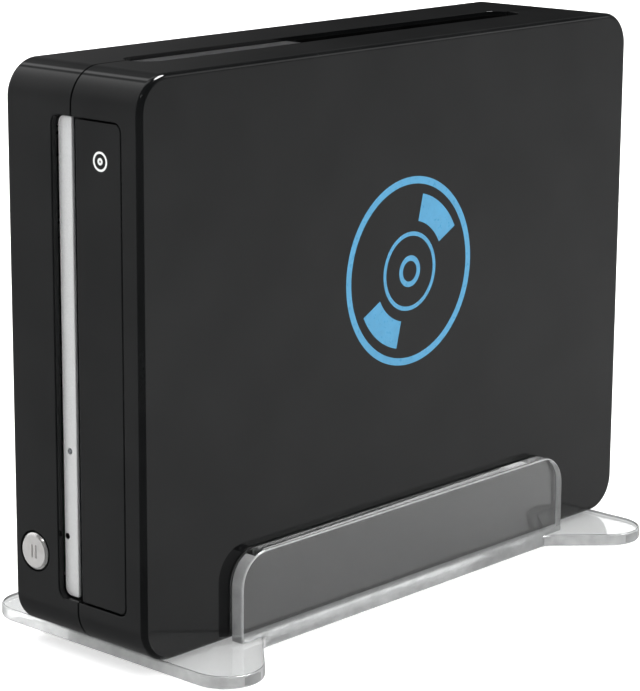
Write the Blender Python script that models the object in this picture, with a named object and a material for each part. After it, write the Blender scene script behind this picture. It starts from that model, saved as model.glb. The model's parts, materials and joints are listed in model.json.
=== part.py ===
"""External disc drive in a two-half glossy case, held upright by a clear plastic stand.

Every size is in millimetres. A point is written (x, d, h): x runs to the right across the case,
d is the depth behind the case's front face, and h is the height above the case's underside.
world() turns such a point into Blender's metres: +X right, +Y to the rear, +Z up, with the
origin on the floor under the middle of the object.
"""

import math

import bmesh
import bpy
from mathutils import Matrix, Vector

MM = 0.001
GAP = 0.3                      # clearance between pieces that touch

# ------------------------------------------------------------------ driving dimensions
CASE_WIDTH = 58.0
CASE_DEPTH = 236.5
CASE_HEIGHT = 179.0
CASE_CORNER = 11.5             # corner radius seen from the side
CASE_EDGE = 1.8                # rounding between a side face and the rim
WALL = 2.2
HALF = CASE_WIDTH / 2
INNER = HALF - WALL            # inner side of a case half

STAND_BASE = 4.0               # thickness of the stand's base plate
CASE_LIFT = STAND_BASE + GAP   # height of the case's underside over the floor
FENCE_X = (HALF + 0.4, HALF + 5.4)
FENCE_D = (37.0, 199.5)
FENCE_TOP = 27.8
FENCE_CORNER = 11.0
EAR_TIP = (42.0, 21.4)         # (x, d) of the middle of an ear's round end
EAR_RADIUS = 12.1
EAR_FILLET = 7.0

DRIVE_HALF = 20.65             # half the thickness of the drive mechanism
DRIVE_D = (11.0, 172.6)
DRIVE_H = (16.5, 162.5)
SHEET = 0.8                    # the drive's steel covers
DRIVE_SCREW_X = -14.0
DRIVE_SCREW_D = (60.0, 140.0)
SPINDLE = (73.0, 89.5)         # (d, h) of the disc's axis with the tray in

OPENING_X = (-8.6, 21.2)       # the opening in the front of the case
OPENING_H = (14.2, 164.6)
OPENING_CORNER = 3.0
STRIP_X = (-8.3, -2.2)         # the trim strip, in the opening's left part
STRIP_D = (2.4, 3.6)
PANEL_X = (1.3, 20.9)          # the tray's front panel, in its right part
PANEL_D = (0.4, 3.4)
BUTTON = (-19.4, 26.6)         # (x, h) of the eject button
BUTTON_RADIUS = 6.05
BUTTON_CLEARANCE = 0.5         # the dark ring round the button
BUTTON_PROUD = 0.65            # how far the cap stands out of the case's front
LIGHT = (-5.3, 61.0)           # (x, h) of the activity light
EJECT_HOLE = (-6.9, 33.7)      # (x, h) of the emergency eject hole
SLOT_X = (-5.4, 8.4)           # the trough along the top
SLOT_D = (23.0, 206.5)
VENT_X = (-2.7, 5.7)           # the vent slits in the trough's rear half
VENT_FIRST = 105.0
VENT_WIDTH = 5.5
VENT_PITCH = 9.0
VENT_COUNT = 11
SCREW_PLACES = [(14.0, 8.2), (223.5, 8.2), (14.0, 170.8), (223.5, 170.8)]
SCREW_SEAT = -21.8             # x of the shoulder that a case screw's head bears on
FOOT_PLACES = [(25.0, 42.0), (211.0, 42.0), (25.0, 148.0), (211.0, 148.0)]
FOOT_RADIUS = 5.0

BEZEL_X = (-10.2, 24.5)
BEZEL_H = (13.0, 165.8)
BEZEL_D = (3.9, 10.6)

TRAY_X = (7.0, 12.0)
TRAY_H = (22.5, 156.5)
TRAY_D = (3.7, 168.0)
TRAY_FLOOR = 10.0              # x of the disc recess's floor

MODULE = 1.0                   # tooth size of the loading gears
TOOTH_ROOT = 1.15              # depth of a tooth's root below its pitch line, in modules
DRIVE_TEETH = 28
PINION_TEETH = 10
RACK_PITCH_H = 31.6
GEAR_D = 26.0
GEAR_H = RACK_PITCH_H + MODULE * DRIVE_TEETH / 2
PINION_H = GEAR_H + MODULE * (DRIVE_TEETH + PINION_TEETH) / 2
MOTOR_H = PINION_H + 38.0
GEAR_X = (3.9, 6.6)
PULLEY_X = (0.6, 2.7)
PULLEY_GROOVE = 8.2
MOTOR_GROOVE = 2.6

HINGE = (0.25, 157.5)          # (x, d) of the traverse's hinge
LOWERED = 5.5                  # degrees that the traverse hangs below its playing position
SLED_D = (92.0, 116.0)         # the pickup sled at the inner end of its travel
LENS_D = 97.5
ROD_X = 4.0
ROD_H = (58.5, 120.5)
SCREW_X = 3.0
SCREW_H = 129.0
CAM_TRAVEL = 18.0
CAM_D = (46.2, 48.0)

BOARD_X = (-13.6, -12.0)       # the bridge board behind the drive
BOARD_D = (184.3, 231.8)
BOARD_H = (52.0, 132.0)
PLUG_H = (96.0, 130.0)         # the drive's cable connector
BOARD_POSTS = [(190.0, 56.0), (190.0, 126.0), (227.0, 56.0), (227.0, 116.0)]
WINDOW_X = (-19.5, 19.5)       # the window in the rear of the case
WINDOW_H = (27.5, 147.5)
REAR_FACE = 235.2              # depth of the rear panel's outer face
ROCKER = (230.0, 133.0)        # (d, h) of the power rocker's pivot
ROCKER_REST = 8.0              # degrees that the rocker leans at rest
JACK = (-6.5, 108.0)           # (x, h) of the power jack
USB_X = (-11.7, -0.9)
USB_H = (80.0, 92.0)
SECOND_X = (-11.7, -6.2)       # the second, narrower data socket
SECOND_H = (60.0, 72.0)

BLACK = (0.012, 0.012, 0.013)
DARK = (0.03, 0.03, 0.032)


# ------------------------------------------------------------------ points and outlines
def world(x, d, h):
    return Vector((x, d - CASE_DEPTH / 2, h + CASE_LIFT)) * MM


def circle(a, b, radius, count=32):
    step = 2 * math.pi / count
    return [(a + radius * math.cos(i * step), b + radius * math.sin(i * step)) for i in range(count)]


def rounded(a, b, radii, arc=6):
    """A rectangle over the intervals a and b, its corners rounded, from the low-low corner on."""
    if not isinstance(radii, (list, tuple)):
        radii = [radii] * 4
    corners = [(a[0], b[0], 1, 1, 180), (a[1], b[0], -1, 1, 270)]
    corners += [(a[1], b[1], -1, -1, 0), (a[0], b[1], 1, -1, 90)]
    points = []
    for (corner_a, corner_b, side_a, side_b, start), radius in zip(corners, radii):
        centre = (corner_a + side_a * radius, corner_b + side_b * radius)
        points += arc_points(centre, radius, start, start + 90, arc)
    return points


def arc_points(centre, radius, start, end, count):
    """count + 1 points of an arc; its angles are in degrees."""
    points = []
    for i in range(count + 1):
        angle = math.radians(start + (end - start) * i / count)
        points.append((centre[0] + radius * math.cos(angle), centre[1] + radius * math.sin(angle)))
    return points


def around(middle, half):
    return (middle - half, middle + half)


def rectangle(a, b):
    return [(a[0], b[0]), (a[1], b[0]), (a[1], b[1]), (a[0], b[1])]


def grown(interval, by):
    return (interval[0] - by, interval[1] + by)


def case_outline(inset):
    """The side view of the case, (d, h), pulled in by inset."""
    return rounded((inset, CASE_DEPTH - inset), (inset, CASE_HEIGHT - inset), CASE_CORNER - inset, 8)


def tooth(pitch_point, out, along):
    """One gear tooth's four corners: pitch_point on the pitch line, out and along unit vectors."""
    shape = [(-0.85, -TOOTH_ROOT), (-0.38, 0.9), (0.38, 0.9), (0.85, -TOOTH_ROOT)]
    corners = []
    for side, rise in shape:
        move = [MODULE * (side * a + rise * o) for a, o in zip(along, out)]
        corners.append((pitch_point[0] + move[0], pitch_point[1] + move[1]))
    return corners


def gear_outline(centre, teeth, first_angle):
    """A spur gear's outline, with one tooth's middle at first_angle (degrees)."""
    radius = MODULE * teeth / 2
    points = []
    for i in range(teeth):
        angle = math.radians(first_angle) + 2 * math.pi * i / teeth
        out = (math.cos(angle), math.sin(angle))
        along = (-math.sin(angle), math.cos(angle))
        points += tooth((centre[0] + radius * out[0], centre[1] + radius * out[1]), out, along)
    return points


def rack_outline(first_d, last_d, pitch_h, base_h):
    """A rack along d whose teeth point up, with one tooth's middle at GEAR_D."""
    pitch = math.pi * MODULE
    start = math.ceil((first_d - GEAR_D) / pitch) + 1
    end = math.floor((last_d - GEAR_D) / pitch) - 1
    points = [(last_d, base_h), (first_d, base_h), (first_d, pitch_h - TOOTH_ROOT * MODULE)]
    for i in range(start, end + 1):
        points += tooth((GEAR_D + i * pitch, pitch_h), (0, 1), (1, 0))
    return points + [(last_d, pitch_h - TOOTH_ROOT * MODULE)]


def loop_around(first, first_radius, second, second_radius, arc=12):
    """The closed line round two circles whose centres differ in h only: the upper one is second."""
    lean = math.degrees(math.asin((first_radius - second_radius) / (second[1] - first[1])))
    upper = arc_points(second, second_radius, lean, 180 - lean, arc)
    return upper + arc_points(first, first_radius, 180 - lean, 360 + lean, arc)


# ------------------------------------------------------------------ making solids
PLACE = {
    "x": lambda level, a, b: (level, a, b),
    "d": lambda level, a, b: (a, level, b),
    "h": lambda level, a, b: (a, b, level),
}


def make(name, loops, closed=False):
    """A solid whose skin runs from loop to loop; its ends are capped unless they meet."""
    bm = bmesh.new()
    rings = [[bm.verts.new(world(*point)) for point in loop] for loop in loops]
    pairs = list(zip(rings, rings[1:]))
    if closed:
        pairs.append((rings[-1], rings[0]))
    else:
        bm.faces.new(rings[0])
        bm.faces.new(rings[-1])
    for low, high in pairs:
        for i in range(len(low)):
            j = (i + 1) % len(low)
            bm.faces.new((low[i], low[j], high[j], high[i]))
    bmesh.ops.recalc_face_normals(bm, faces=bm.faces)
    mesh = bpy.data.meshes.new(name)
    bm.to_mesh(mesh)
    bm.free()
    obj = bpy.data.objects.new(name, mesh)
    bpy.context.scene.collection.objects.link(obj)
    return obj


def stack(name, axis, steps, closed=False):
    """A solid through (level, outline) steps along an axis; the outlines have equal point counts."""
    place = PLACE[axis]
    return make(name, [[place(level, a, b) for a, b in outline] for level, outline in steps], closed)


def slab(name, axis, span, outline):
    return stack(name, axis, [(span[0], outline), (span[1], outline)])


def block(name, x, d, h):
    return slab(name, "x", x, rectangle(d, h))


def turned(name, axis, centre, profile, count=32, closed=False):
    """A round solid through (level, radius) pairs along an axis, its sides shaded smooth."""
    obj = stack(name, axis, [(level, circle(*centre, radius, count)) for level, radius in profile], closed)
    smooth(obj)
    return obj


def smooth(obj, angle=35):
    obj.data.shade_smooth()
    obj.data.set_sharp_from_angle(angle=math.radians(angle))


def use_tool(target, tools, operation):
    for tool in tools:
        modifier = target.modifiers.new(tool.name, "BOOLEAN")
        modifier.operation = operation
        modifier.object = tool
        tool.hide_render = True
        tool.display_type = "WIRE"
    return target


def cut(target, *tools):
    return use_tool(target, tools, "DIFFERENCE")


def weld(target, *tools):
    return use_tool(target, tools, "UNION")


def several(name, pieces):
    """Join separate blocks into one tool object."""
    bm = bmesh.new()
    for piece in pieces:
        bm.from_mesh(piece.data)
    mesh = bpy.data.meshes.new(name)
    bm.to_mesh(mesh)
    bm.free()
    for piece in pieces:
        bpy.data.objects.remove(piece)
    obj = bpy.data.objects.new(name, mesh)
    bpy.context.scene.collection.objects.link(obj)
    return obj


def pivot(obj, x, d, h):
    """Put the object's origin on a joint's axis without moving its shape."""
    point = world(x, d, h)
    obj.data.transform(Matrix.Translation(-point))
    obj.location = point
    return obj


def paint(name, colour, roughness, metallic=0.0, alpha=1.0):
    material = bpy.data.materials.new(name)
    material.use_nodes = True
    shader = material.node_tree.nodes["Principled BSDF"]
    shader.inputs["Base Color"].default_value = (*colour, 1.0)
    shader.inputs["Roughness"].default_value = roughness
    shader.inputs["Metallic"].default_value = metallic
    shader.inputs["Alpha"].default_value = alpha
    return material


def dress(material, *objects):
    for obj in objects:
        obj.data.materials.append(material)


# ------------------------------------------------------------------ the stand
def ear_outline():
    """The front right quarter of the base plate's outline, (x, d), from the side to the front."""
    side = FENCE_X[1]
    reach = sum(EAR_TIP) + EAR_RADIUS * math.sqrt(2)      # the slanting edge is the line x + d = reach
    bend = EAR_FILLET * math.tan(math.radians(22.5))
    inner_bend = (side + EAR_FILLET, reach - side + bend)
    outline = arc_points(inner_bend, EAR_FILLET, 180, 225, 4)
    return outline + arc_points(EAR_TIP, EAR_RADIUS, 45, -90, 12)


def make_stand():
    quarter = ear_outline()
    front = quarter + [(-x, d) for x, d in reversed(quarter)]
    outline = front + [(x, CASE_DEPTH - d) for x, d in reversed(front)]
    stand = slab("stand", "h", (-CASE_LIFT, -GAP), outline)
    bevel = 0.5
    outer = FENCE_X[1] - 0.4
    levels = ((FENCE_X[0], bevel), (FENCE_X[0] + bevel, 0), (outer - bevel, 0), (outer, bevel))
    for name, side in (("fence_right", 1), ("fence_left", -1)):
        steps = []
        for x, inset in levels:
            d, h = grown(FENCE_D, -inset), (-2.0, FENCE_TOP - inset)
            steps.append((side * x, rounded(d, h, (0.2, 0.2, FENCE_CORNER, FENCE_CORNER))))
        weld(stand, stack("tool." + name, "x", steps))
    dress(paint("clear acrylic", (0.82, 0.84, 0.85), 0.05, 0.0, 0.35), stand)


# ------------------------------------------------------------------ the case
def case_half(name, side):
    """One half of the case: side is 1 for the right half and -1 for the left."""
    steps = [(INNER, WALL), (GAP / 2, WALL), (GAP / 2, 0.3), (GAP / 2 + 0.3, 0.0), (HALF - CASE_EDGE, 0.0)]
    for angle in (22.5, 45, 67.5, 90):
        turn = math.radians(angle)
        steps.append((HALF - CASE_EDGE + CASE_EDGE * math.sin(turn), CASE_EDGE * (1 - math.cos(turn))))
    shell = stack(name, "x", [(side * x, case_outline(inset)) for x, inset in steps])
    smooth(shell, 30)
    return shell


def flared(name, outline_at, span, lip=0.4):
    """A front cutter along d: outline_at(by) grows by by; it flares over the last lip of depth."""
    steps = [(-1.0, outline_at(1.0 + lip)), (lip, outline_at(0)), (span, outline_at(0))]
    return stack(name, "d", steps)


def stadium(x, d, by=0.0):
    x, d = grown(x, by), grown(d, by)
    return rounded(x, d, (x[1] - x[0]) / 2 - 0.01, 8)


def make_case(gloss):
    right = case_half("right_shell", 1)
    left = case_half("left_shell", -1)

    def opening_at(by):
        return rounded(grown(OPENING_X, by), grown(OPENING_H, by), OPENING_CORNER + by)
    opening = flared("tool.opening", opening_at, 6.0)
    lip, flare = 0.4, 1.4
    slot_steps = [(CASE_HEIGHT - 4, 0), (CASE_HEIGHT - lip, 0), (CASE_HEIGHT + 1, flare)]
    slot = stack("tool.top_slot", "h", [(h, stadium(SLOT_X, SLOT_D, by)) for h, by in slot_steps])
    window = slab("tool.rear_window", "d", (230, 240), rounded(WINDOW_X, WINDOW_H, 3))
    hole = BUTTON_RADIUS + BUTTON_CLEARANCE
    button_hole = flared("tool.button_hole", lambda by: circle(*BUTTON, hole + by, 40), 4.0, 0.3)

    boss = {"left": [(-INNER - 1, 4.4), (-GAP / 2, 4.4)], "right": [(GAP / 2, 4.0), (INNER + 1, 4.0)]}
    well = [(-HALF - 1, 3.2), (SCREW_SEAT, 3.2), (SCREW_SEAT, 1.7), (1, 1.7)]
    pilot = [(-1, 1.7), (12, 1.7)]
    for index, place in enumerate(SCREW_PLACES):
        weld(left, turned(f"tool.left_boss_{index}", "x", place, boss["left"], 24))
        weld(right, turned(f"tool.right_boss_{index}", "x", place, boss["right"], 24))
    post = [(-INNER - 1, 2.4), (BOARD_X[0] - GAP, 2.4)]
    for index, place in enumerate(BOARD_POSTS):
        weld(left, turned(f"tool.standoff_{index}", "x", place, post, 16))
    for index, h in enumerate((42.0, 63.0)):
        weld(left, turned(f"tool.switch_post_{index}", "d", (-21.5, h), [(WALL - 1, 2.0), (8.7, 2.0)], 16))
    for index, place in enumerate(SCREW_PLACES):
        cut(left, turned(f"tool.screw_well_{index}", "x", place, well, 24))
        cut(right, turned(f"tool.pilot_{index}", "x", place, pilot, 16))
    cut(right, opening, slot, window)
    cut(left, opening, slot, window, button_hole)
    dress(gloss, right, left)


def make_vent_insert(gloss):
    """The trough's floor: a flange under the case's top, and a sunk grille in its rear half."""
    top = CASE_HEIGHT - 1.2
    under = CASE_HEIGHT - WALL - GAP
    small = stadium(SLOT_X, SLOT_D, -GAP)
    flange = stadium(SLOT_X, SLOT_D, 2.0)
    steps = [(under - 1.5, flange), (under, flange), (under, small), (top, small)]
    insert = stack("vent_insert", "h", steps)
    pocket_d = (VENT_FIRST - 6.0, SLOT_D[1] - 1.1)
    pocket = slab("tool.vent_pocket", "h", (top - 1.3, top + 1), stadium(grown(VENT_X, 1.7), pocket_d))
    slits = []
    for i in range(VENT_COUNT):
        first = VENT_FIRST + i * VENT_PITCH
        slits.append(block("slit", VENT_X, (first, first + VENT_WIDTH), (170, 180)))
    cut(insert, pocket, several("tool.vent_slits", slits))
    smooth(insert, 30)
    dress(gloss, insert)


def make_screws(steel):
    head, shank = 2.8, 1.4
    seat = SCREW_SEAT - GAP
    profile = [(seat - 1.4, 2.2), (seat - 0.8, head), (seat, head), (seat, shank), (8.0, shank), (9.0, 0.6)]
    for index, place in enumerate(SCREW_PLACES):
        dress(steel, turned(f"case_screw_{index + 1}", "x", place, profile, 14))


def make_feet(rubber):
    profile = [(-HALF - GAP, FOOT_RADIUS), (-HALF - 1.1, FOOT_RADIUS), (-HALF - 1.5, FOOT_RADIUS - 0.4)]
    for index, place in enumerate(FOOT_PLACES):
        dress(rubber, turned(f"case_foot_{index + 1}", "x", place, profile, 20))


# ------------------------------------------------------------------ the front
def make_trim_strip(silver):
    strip_h = grown(OPENING_H, -0.4)
    front, back = STRIP_D
    bevel = 0.25

    def outline(by):
        return rounded(grown(STRIP_X, by), grown(strip_h, by), (2.6 + by, 0.5, 0.5, 2.6 + by))
    steps = [(front, outline(-bevel)), (front + bevel, outline(0)), (back, outline(0))]
    strip = stack("front_trim_strip", "d", steps)
    cut(strip, turned("tool.light_hole", "d", LIGHT, [(1, 1.1), (5, 1.1)], 20))
    cut(strip, turned("tool.eject_hole", "d", EJECT_HOLE, [(1, 0.8), (5, 0.8)], 16))
    dress(silver, strip)


def make_eject_button(silver):
    """A domed cap, a little proud of the case's front, with a bar that holds it in and a plunger."""
    cap = [(-BUTTON_PROUD, 3.4), (-0.58, 4.6), (-0.3, 5.5), (0.1, BUTTON_RADIUS), (PANEL_D[1], BUTTON_RADIUS)]
    button = turned("eject_button", "d", BUTTON, cap, 32)
    bar = block("tool.button_bar", around(BUTTON[0], 3), (2.6, 3.4), around(BUTTON[1], 8.6))
    plunger = turned("tool.plunger", "d", BUTTON, [(3.0, 2.0), (4.4, 2.0)], 20)
    weld(button, bar, plunger)
    pivot(button, BUTTON[0], 0, BUTTON[1])
    dress(silver, button)


def make_light_pipe():
    radius = 0.8
    front, back = 2.3, 8.4
    rod = [(front, radius - 0.15), (front + 0.15, radius), (back, radius)]
    pipe = turned("activity_light_pipe", "d", LIGHT, rod, 16)
    weld(pipe, block("tool.pipe_arm", (-14.0, LIGHT[0]), (back - 1.4, back), around(LIGHT[1], 0.7)))
    dress(paint("diffuse light pipe", (0.45, 0.47, 0.48), 0.3), pipe)


def make_bezel():
    wall = 2.0
    through = (2, 8)
    bezel = slab("drive_bezel", "d", BEZEL_D, rounded(BEZEL_X, BEZEL_H, 1.5, 3))
    inside = rounded(grown(BEZEL_X, -wall), grown(BEZEL_H, -wall), 0.6, 3)
    cut(bezel, slab("tool.bezel_hollow", "d", (BEZEL_D[0] + 2.3, 12), inside))
    cut(bezel, block("tool.tray_slot", (GEAR_X[0] - 0.6, TRAY_X[1] + 1.2), through, grown(TRAY_H, 0.4)))
    cut(bezel, turned("tool.bezel_light", "d", LIGHT, [(level, 1.3) for level in through], 16))
    cut(bezel, turned("tool.bezel_eject", "d", EJECT_HOLE, [(level, 1.0) for level in through], 12))
    cut(bezel, block("tool.pipe_notch", (-12, -7.5), (6.7, 12), around(LIGHT[1], 1.5)))
    dress(paint("black bezel plastic", DARK, 0.45), bezel)


def make_eject_switch(board_green, dark):
    board = (9.0, 10.2)
    body = block("eject_switch", around(BUTTON[0], 3), (6.4, board[0] - GAP), around(BUTTON[1], 3))
    weld(body, turned("tool.switch_key", "d", BUTTON, [(5.9, 1.7), (7.0, 1.7)], 16))
    dress(dark, body)
    dress(board_green, block("front_switch_board", (-25.2, -10.6), board, (18.6, 67.0)))


# ------------------------------------------------------------------ the rear
def make_rear_panel(matt):
    flange = rounded((-22, 22), grown(WINDOW_H, 3), 4, 4)
    face = rounded(grown(WINDOW_X, -GAP), grown(WINDOW_H, -GAP), 2.7, 4)
    step = CASE_DEPTH - WALL - GAP
    steps = [(step - 1.5, flange), (step, flange), (step, face), (REAR_FACE, face)]
    panel = stack("rear_panel", "d", steps)
    through = (230, 240)
    cut(panel, block("tool.switch_gap", around(0, 6.8), through, around(ROCKER[1], 9.8)))
    cut(panel, turned("tool.jack_gap", "d", JACK, [(level, 5.0) for level in through], 24))
    cut(panel, block("tool.usb_gap", grown(USB_X, GAP), through, grown(USB_H, GAP)))
    cut(panel, block("tool.second_gap", grown(SECOND_X, GAP), through, grown(SECOND_H, GAP)))
    first, width, pitch, count = 34.0, 2.5, 4.5, 5
    slits = []
    for i in range(count):
        slits.append(block("slit", around(0, 14), through, (first + pitch * i, first + pitch * i + width)))
    cut(panel, several("tool.rear_slits", slits))
    dress(matt, panel)


def make_switch(matt, dark):
    d, h = ROCKER
    frame = block("power_switch_frame", around(0, 6.5), (219.0, 235.8), around(h, 9.5))
    weld(frame, block("tool.switch_lip", around(0, 7.8), (REAR_FACE + GAP, 236.3), around(h, 11)))
    cut(frame, block("tool.switch_well", around(0, 5.2), (223.5, 240), around(h, 7.7)))
    cut(frame, turned("tool.rocker_bore", "x", ROCKER, [(-6.0, 1.2), (6.0, 1.2)], 16))
    dress(dark, frame)

    back, waist, tip = d - 2, d + 4.4, d + 5.2
    lower = [(back, h - 3), (d + 2.8, h - 6.7), (tip, h - 6.6)]
    upper = [(tip, h + 6.6), (d + 2.8, h + 6.7), (back, h + 3)]
    rocker = slab("power_rocker", "x", around(0, 4.9), lower + [(waist, h)] + upper)
    weld(rocker, turned("tool.rocker_pin", "x", ROCKER, [(-5.7, 0.9), (5.7, 0.9)], 16))
    pivot(rocker, 0, *ROCKER)
    rocker.rotation_euler.x = math.radians(-ROCKER_REST)
    for modifier in rocker.modifiers:
        ride_pivot(modifier.object, rocker)
    dress(matt, rocker)


def make_sockets(steel, dark):
    jack = block("dc_jack", around(JACK[0], 5.2), (219.0, 231.9), around(JACK[1], 5.2))
    weld(jack, turned("tool.jack_nose", "d", JACK, [(231, 4.6), (235.6, 4.6)], 28))
    mouth = [(237, 3.1), (223, 3.1), (223, 1.0), (233.8, 1.0), (234.2, 0.6)]
    cut(jack, turned("tool.jack_mouth", "d", JACK, mouth, 20))
    dress(dark, jack)

    front = 235.9
    usb = block("usb_socket", USB_X, (218.0, front), USB_H)
    cut(usb, block("tool.usb_mouth", grown(USB_X, -0.5), (219, 240), grown(USB_H, -0.5)))
    dress(steel, usb)
    tongue = block("usb_tongue", (-8.3, -4.3), (219.3, 234.4), grown(USB_H, -3.2))
    dress(paint("connector blue", (0.02, 0.12, 0.42), 0.4), tongue)

    second = block("esata_socket", SECOND_X, (221.0, front), SECOND_H)
    cut(second, block("tool.second_mouth", grown(SECOND_X, -0.7), (223, 240), grown(SECOND_H, -1)))
    weld(second, block("tool.second_tongue", (-9.4, -8.4), (222, 234.5), grown(SECOND_H, -2.4)))
    dress(dark, second)


def make_bridge_board(board_green, dark):
    dress(board_green, block("bridge_board", BOARD_X, BOARD_D, BOARD_H))
    dress(dark, block("bridge_chip", (BOARD_X[1] + GAP, BOARD_X[1] + 1.8), (198, 210), (96, 108)))
    dress(dark, block("drive_cable_plug", (-16.8, -11.8), (175.8, 184.0), PLUG_H))


def ride_pivot(tool, owner):
    """Let a tool object turn with the object that it shapes, about that object's origin."""
    tool.parent = owner
    tool.matrix_parent_inverse = Matrix.Translation(-owner.location)


# ------------------------------------------------------------------ the drive's frame and covers
def make_brackets(steel):
    sheet = 1.2
    inner = -INNER + GAP
    for name, side, first in (("drive_bracket_upper", 1, 1), ("drive_bracket_lower", -1, 3)):
        near = DRIVE_H[1] + GAP if side > 0 else DRIVE_H[0] - GAP
        far = near + side * sheet
        tip = near + side * 10.5
        outline = [(inner, near), (-5.0, near), (-5.0, far)]
        outline += [(inner + sheet, far), (inner + sheet, tip), (inner, tip)]
        bracket = slab(name, "d", (44.0, 156.0), outline)
        for index, d in enumerate(DRIVE_SCREW_D):
            place = (DRIVE_SCREW_X, d)
            hole = [(near - side, 1.7), (far + side, 1.7)]
            cut(bracket, turned(f"tool.{name}_hole_{index}", "h", place, hole, 16))
            head, seat, end = far + side * 1.9, far + side * GAP, near - side * 4.2
            profile = [(head, 2.2), (head - side * 0.5, 2.7), (seat, 2.7), (seat, 1.3), (end, 1.3)]
            dress(steel, turned(f"drive_screw_{first + index}", "h", place, profile, 16))
        dress(steel, bracket)


def screw_holes(target, tag, span):
    """Clearance holes for the drive's four side screws, span deep from its upper and lower sides."""
    for side, h in ((1, DRIVE_H[1]), (-1, DRIVE_H[0])):
        for index, d in enumerate(DRIVE_SCREW_D):
            levels = [(h + side, 1.7), (h - side * span, 1.7)]
            cut(target, turned(f"tool.{tag}_{side}_{index}", "h", (DRIVE_SCREW_X, d), levels, 16))


def make_covers(steel):
    inside = (10.0, DRIVE_D[1] - SHEET), grown(DRIVE_H, -SHEET)
    bottom = block("drive_bottom_cover", (-DRIVE_HALF, 9.0), DRIVE_D, DRIVE_H)
    cut(bottom, block("tool.bottom_inside", (-DRIVE_HALF + SHEET, 12.0), *inside))
    cut(bottom, block("tool.plug_gap", (-17.3, -11.3), (168, 176), grown(PLUG_H, 0.6)))
    screw_holes(bottom, "bottom_screw", 1.5)
    top = block("drive_top_cover", (9.4, DRIVE_HALF), DRIVE_D, DRIVE_H)
    cut(top, block("tool.top_inside", (8.0, DRIVE_HALF - SHEET), *inside))
    dress(steel, bottom, top)


def make_chassis(matt):
    """The moulded frame: a deck for the gears, two side walls with the tray's rails, and cross beams."""
    low, high = (17.6, 22.2), (156.8, 161.4)
    front = DRIVE_D[0] + GAP
    rails_d = (front, 160.0)
    across = (low[0] + 2.4, high[1] - 2.4)
    chassis = block("drive_chassis", (-2.0, 0.0), (front, 45.0), (low[0], high[1]))
    for side, wall in (("low", low), ("high", high)):
        weld(chassis, block(f"tool.wall_{side}", (-16.0, 17.0), (front, DRIVE_D[1] - 1.2), wall))
        inward = (wall[1] - 1, wall[1] + 4.0) if side == "low" else (wall[0] - 4.0, wall[0] + 1)
        weld(chassis, block(f"tool.rail_under_{side}", (5.2, TRAY_X[0] - GAP), rails_d, inward))
        weld(chassis, block(f"tool.rail_over_{side}", (TRAY_X[1] + GAP, 13.8), rails_d, inward))
    weld(chassis, block("tool.front_wall", (-15.9, -1.0), (front, front + 2.0), across))
    weld(chassis, block("tool.rear_beam", (-8.0, 3.0), (163.0, 168.0), across))
    for side, ear in (("low", (37.7, 41.7)), ("high", (137.3, 141.3))):
        weld(chassis, block(f"tool.ear_{side}", (-3.2, 3.0), (152.8, 165.0), ear))
    posts = (("gear", (GEAR_D, GEAR_H), GEAR_X[0] - GAP), ("pinion", (GEAR_D, PINION_H), PULLEY_X[0] - GAP))
    for tag, centre, shoulder in posts:
        profile = [(-1.0, 3.0), (shoulder, 3.0), (shoulder, 1.2), (6.2, 1.2)]
        weld(chassis, turned(f"tool.{tag}_post", "x", centre, profile, 16))
    cut(chassis, turned("tool.motor_hole", "x", (GEAR_D, MOTOR_H), [(-4, 3.5), (2, 3.5)], 20))
    cut(chassis, turned("tool.hinge_bores", "h", HINGE, [(30, 1.9), (150, 1.9)], 16))
    screw_holes(chassis, "chassis_screw", 8.0)
    dress(matt, chassis)


def make_drive_boards(board_green, dark):
    dress(board_green, block("main_board", (-18.5, -17.1), (95.0, 165.0), (22.5, 156.5)))
    dress(dark, block("drive_connector", (-16.8, -11.8), (160.0, 175.5), PLUG_H))


# ------------------------------------------------------------------ the tray and its loading gears
def make_tray(matt, gloss):
    tray = slab("disc_tray", "x", TRAY_X, rounded(TRAY_D, TRAY_H, (1, 3, 3, 1), 4))
    recess = [(TRAY_FLOOR - 0.8, 40.5), (TRAY_FLOOR, 41.5), (TRAY_FLOOR, 60.6), (TRAY_X[1] + 1, 61.6)]
    window = 20.0
    cut(tray, turned("tool.disc_recess", "x", SPINDLE, recess, 64))
    cut(tray, turned("tool.hub_window", "x", SPINDLE, [(4, window), (14, window)], 40))
    cut(tray, block("tool.lens_window", (4, 14), (SPINDLE[0], 141.0), around(SPINDLE[1], window)))
    rack = rack_outline(GEAR_D - 8, TRAY_D[1] - 0.4, RACK_PITCH_H, RACK_PITCH_H - 4.0)
    weld(tray, slab("tool.tray_rack", "x", (GEAR_X[0], TRAY_X[0] + 0.6), rack))
    dress(matt, tray)

    panel_h = grown(OPENING_H, -0.45)
    front, back = PANEL_D

    def face(by):
        return rounded(grown(PANEL_X, by), grown(panel_h, by), (0.5, 2.4 + by, 2.4 + by, 0.5))
    steps = [(front, face(-0.4)), (front + 0.15, face(-0.15)), (front + 0.4, face(0)), (back, face(0))]
    panel = stack("tray_front_panel", "d", steps)
    dress(gloss, panel)


def flanged_rim(flange, groove):
    """The profile of a belt pulley of PULLEY_X's width: two thin flanges and a groove."""
    low, high = PULLEY_X
    left = [(low, flange), (low + 0.3, flange), (low + 0.6, groove)]
    return left + [(high - 0.6, groove), (high - 0.3, flange), (high, flange)]


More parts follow.
